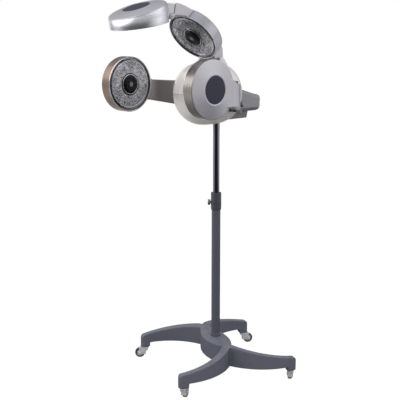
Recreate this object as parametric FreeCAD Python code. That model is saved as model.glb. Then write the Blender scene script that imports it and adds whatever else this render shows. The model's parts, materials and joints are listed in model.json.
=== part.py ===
import FreeCAD, Part
import math
import os

from FreeCAD import Matrix, Placement, Vector

os.makedirs("parts", exist_ok=True)

# Hair colour processor on a mobile stand.  Millimetres, +Z up.  The origin is on the
# floor under the mast, and the head faces -Y, so the client sits at -Y.

# ---- base and casters -------------------------------------------------------------
WHEEL_R = 22.5            # caster wheel radius
WHEEL_W = 17.0            # caster wheel width
CASTER_TRAIL = 26.0       # swivel axis to axle
FORK_GAP = 1.0            # wheel side to fork cheek
FORK_PLATE = 2.0          # fork sheet
AXLE_R = 3.0              # caster axle radius
STEM_R = 5.5              # caster stem radius
PAD_SPACE = 2.0           # fork's cup to the leg's pad
STEM_LENGTH = 30.0        # stem inside the leg
PAD_HEIGHT = 52.0         # underside of the leg tips
LEG_UNDERSIDE = 70.0      # underside of the legs
HUB_TOP = 156.0           # top of the base at the mast
TIP_TOP = 110.0           # top of the base at the leg tips
MID_FALL = 0.55           # share of that fall behind the middle of a leg
HUB_LEVEL = 12.0          # level strip across the hub, each side of the mast axis
BASE_WALL = 5.0           # casting wall
CASTER_RADIUS = 346.0     # mast axis to caster stem
TIP_REACH = 21.0          # caster stem to the end of the leg
PAD_LENGTH = 40.0         # solid pad at a leg tip, along the leg
TIP_WIDTH = 29.0          # leg width at the tip
TIP_ROUND = 9.0           # corner radius of a leg tip, seen from above
TIP_DROP = 16.0           # rounding at the end of a leg, seen from the side
CRESCENT_OPEN = 14.0      # hollow side of a crescent, short of the mast axis
CRESCENT_BACK = 51.5      # round side of a crescent, past the mast axis
LEG_ANGLE = -68.1         # direction of the front leg's caster, degrees from +X
SPIN_FIT = 0.05           # radial running clearance of pins, stems and shafts
BODY_GAP = 0.3            # clearance between pieces that move past each other

# ---- mast ---------------------------------------------------------------------------
COLUMN_R = 19.0           # lower column, outside
COLUMN_WALL = 2.5
COLUMN_TOP = 745.0
COLUMN_FOOT = 84.0        # lower end of the column inside the hub
PLUG_BOLT_TIP = 8.0       # plug left above the tip of the bolt
SOCKET_WALL = 9.0         # hub boss around the column
FOOT_RING_R = 22.5        # trim ring where the column enters the hub
FOOT_RING_HEIGHT = 14.0
RING_SEAT = 3.0           # level seat of the hub outside the ring
POLE_R = 14.0             # chrome pole, outside
POLE_WALL = 2.0
POLE_FOOT = COLUMN_TOP - 315.0
GUIDE_LENGTH = 28.0       # plastic guide on the foot of the pole
COLLAR_R = 22.5           # height collar, outside
COLLAR_RISE = 52.0        # collar above the column
COLLAR_LAP = 23.0         # collar below the column's top
COLLAR_TAPER_LENGTH = 9.0
COLLAR_CAP = 3.0          # collar's wall above the bush
COLLAR_TOP = COLUMN_TOP + COLLAR_RISE
COLLAR_FOOT = COLUMN_TOP - COLLAR_LAP
COLLAR_TAPER = COLLAR_FOOT + COLLAR_TAPER_LENGTH
BUSH_WALL = 3.0
CLAMP_HEIGHT = COLUMN_TOP + 10.0   # axis of the clamp screw
CLAMP_ANGLE = 225.0       # direction of the clamp screw, degrees from +X
CLAMP_STUD_R = 4.0
CLAMP_KNOB_R = 12.5
CLAMP_KNOB_LENGTH = 12.0
BOLT_R = 5.0              # bolt that holds the column to the base
PLUG_LENGTH = 40.0        # threaded plug in the foot of the column

# ---- head: housing, frame and tilt ---------------------------------------------------
HOUSING_Y = -60.0         # middle of the housing, along Y
HOUSING_Z = 1219.0        # middle of the housing, also its parting line
HOUSING_R = 128.0         # housing radius about its Y axis
HOUSING_HALF = 123.0      # half of its length
FRONT_ROUND = 2.7         # its profile in front: 2 is an ellipse, more is squarer
REAR_ROUND = 3.6          # its profile behind
SHELL = 3.0               # moulded wall
CABLE_HOLE_R = 18.0       # opening from the housing to the control box
TILT_Y = 5.0              # tilt axis, along X
TILT_Z = HOUSING_Z - 68.0
POLE_TOP = TILT_Z - 29.0
PIN_R = 6.0               # hinge pins of the head
YOKE_HALF = 14.0          # half width of the yoke
YOKE_R = 15.0
SOCKET_R = 19.0           # yoke socket on the pole
SOCKET_LENGTH = 34.0
EAR = 8.0                 # frame plates
FRAME_Y = -44.0           # front face of the frame
FRAME_DEPTH = 26.0        # depth of the frame's crossbars
TILT_KNOB_R = 12.0
TILT_KNOB_LENGTH = 18.0
TILT_SHAFT_R = 5.0

# ---- side arms ------------------------------------------------------------------------
ARM_HINGE_X = 132.0       # side hinge axis, along Z
ARM_HINGE_Y = -31.0
ARM_BARREL_R = 17.0
ARM_HEIGHT = 106.0        # length of the hinge barrel
ARM_FOOT = HOUSING_Z - 60.0        # its lower end
ARM_TOP = ARM_FOOT + ARM_HEIGHT
ARM_THICKNESS = 20.0
ARM_BEND_R = 100.0        # bend where the arm turns along the pod
ARM_EDGE_TOP = ARM_TOP + 5.0       # upper edge of the arm
ARM_EDGE_POD = ARM_FOOT + 30.0     # lower edge of the arm at the pod
ARM_FLARE = 24.0          # rise of the arm's edge at the pod

# ---- pods -----------------------------------------------------------------------------
POD_R = 112.0             # pod radius
POD_DEPTH = 45.0          # depth of the metal band
BAND_WALL = 3.0
LIP_WIDTH = 4.5           # bright front lip
CHANNEL_DEPTH = 12.0      # recessed channel inside the lip
RING_R = 97.0             # outside of the bright inner ring
RING_WIDTH = 4.5
DISH_DEPTH = 24.0         # reflector depth at the hub
DISH_WALL = 1.5
HUB_R = 36.0              # hub in the middle of the reflector
HUB_FRONT = 8.0           # how far the hub stands out of the pod
LENS_R = 10.0
GUARD_FRONT = 2.2         # front of the wire guard
GUARD_WIRE = 1.6          # section of its wires
GUARD_RINGS = (46.0, 57.5, 69.0, 80.5)
GUARD_RIBS = 12
LAMP_R = 66.0             # ring lamp, centre line
LAMP_TUBE_R = 5.0
LAMP_POSTS = 3
LAMP_POST_R = 2.5
CONE_RISE = 13.7          # rise of the outer cover
BADGE_R = 53.0            # dark disc on the cover
BADGE_EDGE = 1.8          # thickness of the disc at its edge
BADGE_CROWN = 2.0
SIDE_POD_X = 212.0        # heating plane of the side pods
SIDE_POD_Y = -286.0
SIDE_POD_Z = HOUSING_Z + 38.0
UPPER_POD_Y = -139.5      # middle of the upper pod's heating plane
UPPER_POD_Z = HOUSING_Z + 224.7
UPPER_POD_DEPTH = 43.0    # depth of the upper pod's band
UPPER_POD_TILT = 41.0     # its heating direction, degrees below -Y
TOP_POD_Y = -417.4        # middle of the top pod's heating plane
TOP_POD_Z = HOUSING_Z + 272.0
TOP_POD_LEAN = 10.6       # its cover leans towards -Y by this, degrees
TOP_POD_DEPTH = 57.0      # depth of the top pod's band in the middle
TOP_POD_TAPER = 9.3       # the cover's lean against the heating plane, degrees

# ---- neck and top hinge -----------------------------------------------------------------
NECK_HINGE_Y = -30.0      # hinge between housing and upper pod, along X
NECK_HINGE_Z = HOUSING_Z + 132.0
NECK_BARREL_R = 22.0
NECK_HALF = 46.0          # half width of the neck
CHEEK = 7.0               # moulded cheek outside the neck hinge
CHEEK_R = 14.0
CHEEK_SLOPE = 52.0        # fall of the cheeks' edges, degrees
CHEEK_RUN = 70.0          # length of those edges, into the drum
TOP_HINGE_Y = -292.0      # hinge between upper and top pod, along X
TOP_HINGE_Z = HOUSING_Z + 305.0
TOP_BARREL_R = 10.5
TOP_HALF = 45.0           # half width of the upper arm
TOP_KNUCKLE_HALF = 25.0   # half width of the middle knuckle
TOP_PIN_R = 4.0

# ---- control box --------------------------------------------------------------------------
BOX_HALF = 82.0           # half width
BOX_REAR = 205.0
BOX_FLOOR = HOUSING_Z - 80.0
BOX_CORNER_R = 40.0       # its rear corners, seen from above
BOX_EDGE_R = 20.0         # its long edges, seen from behind
BOX_NOSE = 26.0           # rounding of its rear end, seen from the side
PANEL_FRONT = (50.0, HOUSING_Z + 21.0)   # upper end of the sloping top, (y, z)
PANEL_REAR = (165.0, HOUSING_Z - 10.0)   # lower end of the sloping top
PLINTH_HALF = 60.0        # half width of the lower box
PLINTH_FLOOR = BOX_FLOOR - 28.0
PLINTH_REAR_LOW = 121.0
PLINTH_REAR_HIGH = 129.0
PANEL_SIZE = (104.0, 76.0, 2.0)
PANEL_AT = 74.0           # middle of the panel, down the slope
WINDOW_SIZE = (48.0, 18.0, 1.6)
BUTTON_R = 6.0
BUTTON_RISE = 2.0
BUTTON_STEM = 6.0
BUTTON_SPACING = 26.0
KNOB_R = 12.0             # side dial
KNOB_LENGTH = 14.0
KNOB_SHAFT_R = 3.0
KNOB_AT = (64.0, HOUSING_Z - 46.0)  # side dial axis, (y, z)
INLET_SIZE = (27.0, 19.0, 16.0)
INLET_FLANGE = (33.0, 24.0, 2.0)
SWITCH_SIZE = (19.0, 13.0)
SWITCH_SIDE = 0.5         # clearance at the rocker's ends, along its axis
SWITCH_ROOM = 1.0         # clearance above and below it, for its rocking
ROCKER_R = 4.0            # rocker's barrel on its pivot axis
ROCKER_DEPTH = 3.0        # pivot axis below the plinth's face
SWITCH_AT = 27.0          # inlet and switch, each side of the middle

BOARD_RISE = 8.0          # circuit board above the box's floor
BOARD_SHEET = 1.6

X_AXIS = Vector(1, 0, 0)
Y_AXIS = Vector(0, 1, 0)
Z_AXIS = Vector(0, 0, 1)
ORIGIN = Vector(0, 0, 0)


# ---- helpers ------------------------------------------------------------------------
def box(x0, x1, y0, y1, z0, z1):
    return Part.makeBox(x1 - x0, y1 - y0, z1 - z0, Vector(x0, y0, z0))


def rod(radius, start, direction, length):
    return Part.makeCylinder(radius, length, start, direction)


def tube(outer, inner, start, direction, length):
    return rod(outer, start, direction, length).cut(rod(inner, start, direction, length))


def polygon(points):
    return Part.Face(Part.makePolygon(points + points[:1]))


def outline(pieces):
    edges = []
    for piece in pieces:
        if len(piece) == 3:
            edges.append(Part.Arc(*piece).toShape())
        else:
            edges.append(Part.LineSegment(*piece).toShape())
    return Part.Face(Part.Wire(edges))


def turned(points, centre=ORIGIN, axis=Z_AXIS):
    """Solid of revolution about local Z from (radius, height) points, then placed."""
    face = polygon([Vector(r, 0, h) for r, h in points])
    solid = face.revolve(ORIGIN, Z_AXIS, 360)
    return placed(solid, centre, axis)


def placed(shape, centre, axis):
    spin = FreeCAD.Rotation(Z_AXIS, axis)
    result = shape.copy()
    result.Placement = Placement(centre, spin).multiply(shape.Placement)
    return result


def frame_of(origin, x_dir, y_dir, z_dir):
    matrix = Matrix(x_dir.x, y_dir.x, z_dir.x, origin.x,
                    x_dir.y, y_dir.y, z_dir.y, origin.y,
                    x_dir.z, y_dir.z, z_dir.z, origin.z,
                    0, 0, 0, 1)
    return Placement(matrix)


def moved(shape, placement):
    result = shape.copy()
    result.Placement = placement.multiply(shape.Placement)
    return result


def mirrored(shape):
    return shape.mirror(ORIGIN, X_AXIS)


def profile_x(points, half):
    """Extrude a (y, z) outline from -half to +half along X."""
    face = polygon([Vector(-half, y, z) for y, z in points])
    return face.extrude(Vector(2 * half, 0, 0))


def joined(shapes):
    result = shapes[0].multiFuse(shapes[1:])
    return result.removeSplitter()


def polar(radius, degrees, z=0.0):
    angle = math.radians(degrees)
    return Vector(radius * math.cos(angle), radius * math.sin(angle), z)


NODES = {}


def keep(name, shape):
    NODES[name] = shape


# ---- base ------------------------------------------------------------------------------
LEGS = {"front": LEG_ANGLE, "right": LEG_ANGLE + 90, "rear": LEG_ANGLE + 180,
        "left": LEG_ANGLE + 270}


def stem_offset():
    """Caster stem from the mast axis, along and across its crescent's open side."""
    return CASTER_RADIUS / math.sqrt(2)


def crescent(inset):
    """Plans of one two-legged crescent, hollow towards +X, and of all inside its back."""
    end = stem_offset() + TIP_REACH - inset
    low = stem_offset() - TIP_WIDTH / 2 + inset
    high = stem_offset() + TIP_WIDTH / 2 - inset
    curl = TIP_ROUND - min(inset, TIP_ROUND - 1)
    half_curl = curl * (1 - math.sqrt(0.5))

    def tip(side):
        """Edge points of one tip, from its hollow side round to its back."""
        return [Vector(x, side * y, 0) for x, y in (
            (end - curl, low), (end - half_curl, low + half_curl), (end, low + curl),
            (end, high - curl), (end - half_curl, high - half_curl), (end - curl, high))]

    near, far = tip(-1), tip(1)
    inner_mid = Vector(-CRESCENT_OPEN - inset, 0, 0)
    outer_mid = Vector(inset - CRESCENT_BACK, 0, 0)
    legs = outline([
        (near[0], inner_mid, far[0]), tuple(far[0:3]), (far[2], far[3]), tuple(far[3:6]),
        (far[5], outer_mid, near[5]), tuple(near[5:2:-1]), (near[3], near[2]),
        tuple(near[2::-1])])
    return legs, outline([(far[5], outer_mid, near[5]), (near[5], far[5])])


def base_plan(inset, low, high):
    """Both crescents, and the hub that fills the lens between their backs."""
    legs, backs = [], []
    for open_side in (LEG_ANGLE - 45, LEG_ANGLE + 135):
        for plan, solids in zip(crescent(inset), (legs, backs)):
            solid = plan.extrude(Vector(0, 0, high - low))
            solid.translate(Vector(0, 0, low))
            solid.rotate(ORIGIN, Z_AXIS, open_side)
            solids.append(solid)
    lens = backs[0].common(backs[1])
    return legs[0].fuse(legs[1]).fuse(lens)


def base_side(low, drop, lift=0.0):
    """The legs in side view, through both crescents: they fall from the hub to the tips."""
    end = stem_offset() + TIP_REACH
    top = HUB_TOP - lift
    tip_top = TIP_TOP - lift
    solids = []
    for open_side in (LEG_ANGLE - 45, LEG_ANGLE + 135):
        points = {"a": (-1.0, low), "b": (end, low), "c": (end, tip_top - drop),
                  "d": (end - 0.3 * drop, tip_top - 0.3 * drop), "e": (end - drop, tip_top),
                  "f": (0.5 * end, top - MID_FALL * (top - tip_top)),
                  "g": (HUB_LEVEL, top),
                  "h": (-1.0, top)}
        at = {key: Vector(x, -2 * end, z) for key, (x, z) in points.items()}
        side = outline([(at["a"], at["b"]), (at["b"], at["c"]), (at["c"], at["d"], at["e"]),
                        (at["e"], at["f"], at["g"]), (at["g"], at["h"]), (at["h"], at["a"])])
        solid = side.extrude(Vector(0, 4 * end, 0))
        solid = solid.fuse(box(-end, 0, -2 * end, 2 * end, low, top))
        solid.rotate(ORIGIN, Z_AXIS, open_side)
        solids.append(solid)
    return solids[0].common(solids[1])


def pad_boxes(inset):
    """Blocks over the four pads, along each crescent's tips."""
    end = stem_offset() + TIP_REACH + 1
    start = stem_offset() + TIP_REACH - PAD_LENGTH
    solids = []
    for open_side in (LEG_ANGLE - 45, LEG_ANGLE + 135):
        block = box(start + inset, end, -2 * end, 2 * end, PAD_HEIGHT - 2, HUB_TOP)
        block.rotate(ORIGIN, Z_AXIS, open_side)
        solids.append(block)
    return solids[0].fuse(solids[1])


def make_base():
    pads = pad_boxes(0)
    casting = base_plan(0, LEG_UNDERSIDE, HUB_TOP)
    casting = casting.fuse(base_plan(0, PAD_HEIGHT, LEG_UNDERSIDE).common(pads))
    casting = casting.common(base_side(PAD_HEIGHT, TIP_DROP))
    seat = rod(FOOT_RING_R + RING_SEAT, Vector(0, 0, HUB_TOP - 2 * BASE_WALL), Z_AXIS,
               2 * BASE_WALL)
    casting = casting.fuse(seat)
    # open underneath, apart from the hub boss and the pads over the casters
    hollow = base_plan(BASE_WALL, LEG_UNDERSIDE - 1, HUB_TOP)
    hollow = hollow.common(base_side(LEG_UNDERSIDE - 1, TIP_DROP, BASE_WALL)).cut(pads)
    boss = rod(COLUMN_R + SOCKET_WALL, Vector(0, 0, LEG_UNDERSIDE), Z_AXIS,
               HUB_TOP - LEG_UNDERSIDE)
    casting = casting.cut(hollow.cut(boss))
    casting = casting.cut(rod(COLUMN_R, Vector(0, 0, COLUMN_FOOT), Z_AXIS, HUB_TOP))
    casting = casting.cut(rod(BOLT_R + 0.5, Vector(0, 0, LEG_UNDERSIDE - 1), Z_AXIS, HUB_TOP))
    for angle in LEGS.values():
        bore_foot = polar(CASTER_RADIUS, angle, PAD_HEIGHT)
        casting = casting.cut(rod(STEM_R + SPIN_FIT, bore_foot, Z_AXIS, STEM_LENGTH + 2))
    keep("base_casting", casting.removeSplitter())

    head_height = 7.0
    washer = 2.0
    shank_start = LEG_UNDERSIDE - washer
    shank = COLUMN_FOOT + PLUG_LENGTH - PLUG_BOLT_TIP - shank_start
    bolt = rod(BOLT_R, Vector(0, 0, shank_start), Z_AXIS, shank)
    head = Part.makeCylinder(2.1 * BOLT_R, washer, Vector(0, 0, shank_start))
    hexagon = polygon([polar(1.8 * BOLT_R, 60 * k, shank_start - head_height) for k in range(6)])
    bolt = joined([bolt, head, hexagon.extrude(Vector(0, 0, head_height))])
    keep("column_bolt", bolt)


def make_column():
    """Lower column with its foot ring and the threaded plug that the bolt pulls on."""
    column = tube(COLUMN_R, COLUMN_R - COLUMN_WALL, Vector(0, 0, COLUMN_FOOT), Z_AXIS,
                  COLUMN_TOP - COLUMN_FOOT)
    ring = turned([(COLUMN_R - 1, HUB_TOP), (FOOT_RING_R, HUB_TOP),
                   (FOOT_RING_R, HUB_TOP + 6), (COLUMN_R + 2, HUB_TOP + FOOT_RING_HEIGHT),
                   (COLUMN_R - 1, HUB_TOP + FOOT_RING_HEIGHT)])
    plug = rod(COLUMN_R - COLUMN_WALL, Vector(0, 0, COLUMN_FOOT), Z_AXIS, PLUG_LENGTH)
    plug = plug.cut(rod(BOLT_R, Vector(0, 0, COLUMN_FOOT), Z_AXIS, PLUG_LENGTH - 6))
    keep("lower_column", joined([column, ring, plug]))

    bush_r = POLE_R + SPIN_FIT + BUSH_WALL
    collar = turned([
        (COLUMN_R, COLLAR_FOOT), (COLUMN_R + 1, COLLAR_FOOT), (COLLAR_R, COLLAR_TAPER),
        (COLLAR_R, COLLAR_TOP - 2), (COLLAR_R - 2, COLLAR_TOP), (POLE_R + 0.6, COLLAR_TOP),
        (POLE_R + 0.6, COLLAR_TOP - COLLAR_CAP), (bush_r, COLLAR_TOP - COLLAR_CAP),
        (bush_r, COLUMN_TOP), (COLUMN_R, COLUMN_TOP)])
    stud_axis = polar(1, CLAMP_ANGLE)
    stud_hole = rod(CLAMP_STUD_R + SPIN_FIT, Vector(0, 0, CLAMP_HEIGHT), stud_axis, 2 * COLLAR_R)
    keep("height_collar", collar.cut(stud_hole))

    bush = tube(bush_r, POLE_R + SPIN_FIT, Vector(0, 0, COLUMN_TOP), Z_AXIS,
                COLLAR_TOP - COLLAR_CAP - COLUMN_TOP)
    keep("pole_bush", bush.cut(stud_hole))

    tip = POLE_R + BODY_GAP
    stud = rod(CLAMP_STUD_R, polar(tip, CLAMP_ANGLE, CLAMP_HEIGHT), stud_axis,
               COLLAR_R + 4 - tip)
    knob = turned([(0, 0), (CLAMP_KNOB_R - 3, 0), (CLAMP_KNOB_R, 2.5),
                   (CLAMP_KNOB_R, CLAMP_KNOB_LENGTH - 2), (CLAMP_KNOB_R - 2, CLAMP_KNOB_LENGTH),
                   (CLAMP_KNOB_R - 4, CLAMP_KNOB_LENGTH), (CLAMP_KNOB_R - 6, CLAMP_KNOB_LENGTH - 2),
                   (0, CLAMP_KNOB_LENGTH - 2)],
                  polar(COLLAR_R + 1.5, CLAMP_ANGLE, CLAMP_HEIGHT), stud_axis)
    flutes = [rod(2.2, polar(COLLAR_R, CLAMP_ANGLE, CLAMP_HEIGHT)
                  + flute_offset(k), stud_axis, CLAMP_KNOB_LENGTH + 4) for k in range(8)]
    knob = knob.cut(flutes[0].multiFuse(flutes[1:]))
    keep("clamp_knob", joined([stud, knob]))


def flute_offset(index):
    """Place one finger groove round the clamp knob's rim."""
    angle = math.radians(45 * index)
    side = polar(1, CLAMP_ANGLE + 90)
    reach = CLAMP_KNOB_R + 1.0
    return side * (reach * math.cos(angle)) + Vector(0, 0, reach * math.sin(angle))


def make_pole():
    pole = tube(POLE_R, POLE_R - POLE_WALL, Vector(0, 0, POLE_FOOT), Z_AXIS, POLE_TOP - POLE_FOOT)
    keep("chrome_pole", pole)
    guide = tube(COLUMN_R - COLUMN_WALL - SPIN_FIT, POLE_R, Vector(0, 0, POLE_FOOT), Z_AXIS,
                 GUIDE_LENGTH)
    keep("pole_guide", guide)


# ---- casters ------------------------------------------------------------------------------
# direction from each stem to its wheel, degrees from +X
CASTER_TURN = {"front": 118.0, "right": 135.0, "rear": 60.0, "left": 225.0}


def make_caster(name):
    """One caster: fork with its stem and riveted axle, and the wheel."""
    stem_foot = polar(CASTER_RADIUS, LEGS[name])
    trail = polar(1, CASTER_TURN[name])
    side = polar(1, CASTER_TURN[name] + 90)
    local = frame_of(stem_foot, trail, side, Z_AXIS)
    plate_top = PAD_HEIGHT - PAD_SPACE
    inner = WHEEL_W / 2 + FORK_GAP
    outer = inner + FORK_PLATE
    crown = WHEEL_R + 2.5
    axle_at = Vector(CASTER_TRAIL, 0, WHEEL_R)

    hood = rod(crown + FORK_PLATE, axle_at + Vector(0, -outer, 0), Y_AXIS, 2 * outer)
    hood = hood.cut(rod(crown, axle_at + Vector(0, -inner, 0), Y_AXIS, 2 * inner))
    hood = hood.cut(box(CASTER_TRAIL - 60, CASTER_TRAIL + 60, -outer - 1, outer + 1,
                        -5, WHEEL_R - 6))
    hood = hood.cut(box(CASTER_TRAIL + 3, CASTER_TRAIL + 60, -outer - 1, outer + 1, -5, 60))
    cup = turned([(0, plate_top - 8), (12, plate_top - 8), (15, plate_top - 3), (15, plate_top),
                  (0, plate_top)])
    cup = cup.cut(rod(crown, axle_at + Vector(0, -inner, 0), Y_AXIS, 2 * inner))
    stem = rod(STEM_R, Vector(0, 0, plate_top), Z_AXIS, STEM_LENGTH + PAD_SPACE)
    cheeks = []
    for sign in (-1, 1):
        y0 = min(sign * inner, sign * outer)
        cheek = polygon([Vector(CASTER_TRAIL - 7, y0, WHEEL_R - 6),
                         Vector(CASTER_TRAIL + 7, y0, WHEEL_R - 6),
                         Vector(CASTER_TRAIL + 9, y0, WHEEL_R + 8),
                         Vector(4, y0, plate_top - 4), Vector(-12, y0, plate_top - 4),
                         Vector(-10, y0, WHEEL_R + 14)])
        cheeks.append(cheek.extrude(Vector(0, FORK_PLATE, 0)))
    axle = rod(AXLE_R, axle_at + Vector(0, -outer, 0), Y_AXIS, 2 * outer)
    rivets = rod(AXLE_R + 2, axle_at + Vector(0, -outer - 1.5, 0), Y_AXIS, 2 * outer + 3)
    rivets = rivets.cut(rod(2 * AXLE_R, axle_at + Vector(0, -outer, 0), Y_AXIS, 2 * outer))
    fork = joined([hood, cup, stem, axle] + rivets.Solids + cheeks)
    keep("caster_%s_fork" % name, moved(fork, local))

    half = WHEEL_W / 2
    bore = AXLE_R + SPIN_FIT
    tread = 1.5
    wheel = turned([(bore, -half), (8, -half), (8, -half + 3), (14, -half + 3), (15, -half),
                    (WHEEL_R - tread, -half), (WHEEL_R, -half + 3), (WHEEL_R, half - 3),
                    (WHEEL_R - tread, half), (15, half), (14, half - 3), (8, half - 3),
                    (8, half), (bore, half)], axle_at, Y_AXIS)
    keep("caster_%s_wheel" % name, moved(wheel, local))


# ---- head: housing, frame, yoke ---------------------------------------------------------------
def housing_body(inset):
    """Domed drum about an axis along Y, with superellipses for its profile."""
    radius = HOUSING_R - inset
    half = HOUSING_HALF - inset
    steps = 12
    points = []
    for k in range(steps + 1):
        angle = math.pi * k / steps
        c, s = math.cos(angle), math.sin(angle)
        power = REAR_ROUND if c > 0 else FRONT_ROUND
        across = radius * max(s, 0.0) ** (2 / power)
        along = half * math.copysign(abs(c) ** (2 / power), c)
        points.append(Vector(0, along, across))
    curve = Part.BSplineCurve()
    curve.interpolate(Points=points, InitialTangent=Z_AXIS, FinalTangent=-Z_AXIS)
    axis_edge = Part.LineSegment(points[-1], points[0]).toShape()
    face = Part.Face(Part.Wire([curve.toShape(), axis_edge]))
    solid = face.revolve(ORIGIN, Y_AXIS, 360)
    solid.translate(Vector(0, HOUSING_Y, HOUSING_Z))
    return solid


def hinge_cheeks(gap):
    """Moulded cheeks outside the neck hinge, with straight edges down to the drum."""
    start = NECK_HALF + BODY_GAP + EAR + gap
    slope = math.radians(CHEEK_SLOPE)
    edge = Vector(start, CHEEK_R * math.sin(slope), CHEEK_R * math.cos(slope))
    fall = Vector(0, CHEEK_RUN * math.cos(slope), -CHEEK_RUN * math.sin(slope))
    right, foot = edge, edge + fall
    left = Vector(start, -edge.y, edge.z)
    left_foot = Vector(start, -foot.y, foot.z)
    cheek = polygon([left, right, foot, left_foot]).extrude(Vector(CHEEK, 0, 0))
    cheek = cheek.fuse(rod(CHEEK_R, Vector(start, 0, 0), X_AXIS, CHEEK))
    cheek.translate(Vector(0, NECK_HINGE_Y, NECK_HINGE_Z))
    return [cheek, mirrored(cheek)]


def make_housing():
    outer = housing_body(0)
    inner = housing_body(SHELL)
    shell = joined([outer] + hinge_cheeks(0.2)).cut(inner)
    pin_room = rod(PIN_R + 1, Vector(-NECK_HALF - EAR - 2, NECK_HINGE_Y, NECK_HINGE_Z), X_AXIS,
                   2 * (NECK_HALF + EAR + 2))
    lug_room = box(-NECK_HALF - EAR - 0.5, NECK_HALF + EAR + 0.5,
                   NECK_HINGE_Y - NECK_BARREL_R - 3, NECK_HINGE_Y + NECK_BARREL_R + 6,
                   HOUSING_Z + 60, NECK_HINGE_Z + 40)
    shell = shell.cut(lug_room).cut(pin_room)
    for sign in (-1, 1):
        pocket = rod(ARM_BARREL_R + 3, Vector(sign * ARM_HINGE_X, ARM_HINGE_Y,
                                              ARM_FOOT - BODY_GAP - EAR - 1),
                     Z_AXIS, ARM_HEIGHT + 2 * (BODY_GAP + EAR + 1))
        shell = shell.cut(pocket)
        x0 = min(sign * (ARM_HINGE_X - 40), sign * ARM_HINGE_X)
        for low in (ARM_FOOT - BODY_GAP - EAR, ARM_TOP + BODY_GAP):
            shell = shell.cut(box(x0, x0 + 40, FRAME_Y - BODY_GAP, FRAME_Y + FRAME_DEPTH + BODY_GAP,
                                  low - BODY_GAP, low + EAR + BODY_GAP))
    slot_half = SOCKET_R + 4
    slot = box(-slot_half, slot_half, -slot_half - 22, slot_half + 22,
               HOUSING_Z - HOUSING_R - 5, TILT_Z - 30)
    shell = shell.cut(slot)
    shaft_hole = rod(TILT_SHAFT_R + BODY_GAP, Vector(0, TILT_Y, TILT_Z), X_AXIS, HOUSING_R + 5)
    shell = shell.cut(shaft_hole)
    cable_hole = rod(CABLE_HOLE_R, Vector(0, 0, HOUSING_Z - 30), Y_AXIS, BOX_REAR)
    shell = shell.cut(cable_hole)
    big = 400.0
    above = box(-big, big, -big, big, HOUSING_Z, HOUSING_Z + big)
    below = box(-big, big, -big, big, HOUSING_Z - big, HOUSING_Z)
    keep("housing_upper_shell", shell.common(above))
    keep("housing_lower_shell", shell.common(below))


def make_frame():
    """Steel frame inside the housing: it carries every hinge of the head."""
    rear = FRAME_Y + FRAME_DEPTH
    gap = BODY_GAP
    bars = []
    for low in (ARM_TOP + gap, ARM_FOOT - gap - EAR):
        bar = box(-ARM_HINGE_X, ARM_HINGE_X, FRAME_Y, rear, low, low + EAR)
        ends = [rod(FRAME_DEPTH / 2, Vector(s * ARM_HINGE_X, ARM_HINGE_Y, low), Z_AXIS, EAR)
                for s in (-1, 1)]
        bars.append(bar.multiFuse(ends))
    bridge_z = NECK_HINGE_Z - NECK_BARREL_R - 12 - EAR
    spine = box(-40, 40, FRAME_Y, FRAME_Y + EAR, ARM_FOOT - gap - EAR, bridge_z + EAR)
    lug_out = NECK_HALF + gap + EAR
    lug_r = CHEEK_R - 1
    bridge = box(-lug_out, lug_out, FRAME_Y, NECK_HINGE_Y + lug_r, bridge_z, bridge_z + EAR)
    parts = bars + [spine, bridge]
    for sign in (-1, 1):
        x0 = min(sign * (NECK_HALF + gap), sign * lug_out)
        parts.append(box(x0, x0 + EAR, NECK_HINGE_Y - lug_r, NECK_HINGE_Y + lug_r, bridge_z,
                         NECK_HINGE_Z))
        parts.append(rod(lug_r, Vector(x0, NECK_HINGE_Y, NECK_HINGE_Z), X_AXIS, EAR))
        x0 = min(sign * (YOKE_HALF + gap), sign * (YOKE_HALF + gap + EAR))
        parts.append(box(x0, x0 + EAR, FRAME_Y + EAR, TILT_Y, TILT_Z - YOKE_R + 3,
                         TILT_Z + YOKE_R + 8))
        parts.append(rod(YOKE_R - 1, Vector(x0, TILT_Y, TILT_Z), X_AXIS, EAR))
    frame = joined(parts)
    reach = ARM_HINGE_X
    bores = [rod(PIN_R, Vector(-reach, TILT_Y, TILT_Z), X_AXIS, 2 * reach),
             rod(PIN_R, Vector(-reach, NECK_HINGE_Y, NECK_HINGE_Z), X_AXIS, 2 * reach)]
    for sign in (-1, 1):
        foot = Vector(sign * ARM_HINGE_X, ARM_HINGE_Y, ARM_FOOT - gap - EAR - 1)
        bores.append(rod(PIN_R, foot, Z_AXIS, ARM_HEIGHT + 2 * (gap + EAR + 1)))
    frame = frame.cut(bores[0].multiFuse(bores[1:]))
    keep("head_frame", frame)

    tilt_reach = YOKE_HALF + gap + EAR
    cross_pins = [
        rod(PIN_R, Vector(-tilt_reach, TILT_Y, TILT_Z), X_AXIS, 2 * tilt_reach),
        rod(PIN_R, Vector(-lug_out, NECK_HINGE_Y, NECK_HINGE_Z), X_AXIS, 2 * lug_out)]
    keep("cross_pins", Part.makeCompound(cross_pins))
    pin_foot = ARM_FOOT - gap - EAR
    pins = [rod(PIN_R, Vector(s * ARM_HINGE_X, ARM_HINGE_Y, pin_foot), Z_AXIS,
                ARM_TOP + gap + EAR - pin_foot) for s in (-1, 1)]
    keep("arm_hinge_pins", Part.makeCompound(pins))


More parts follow.
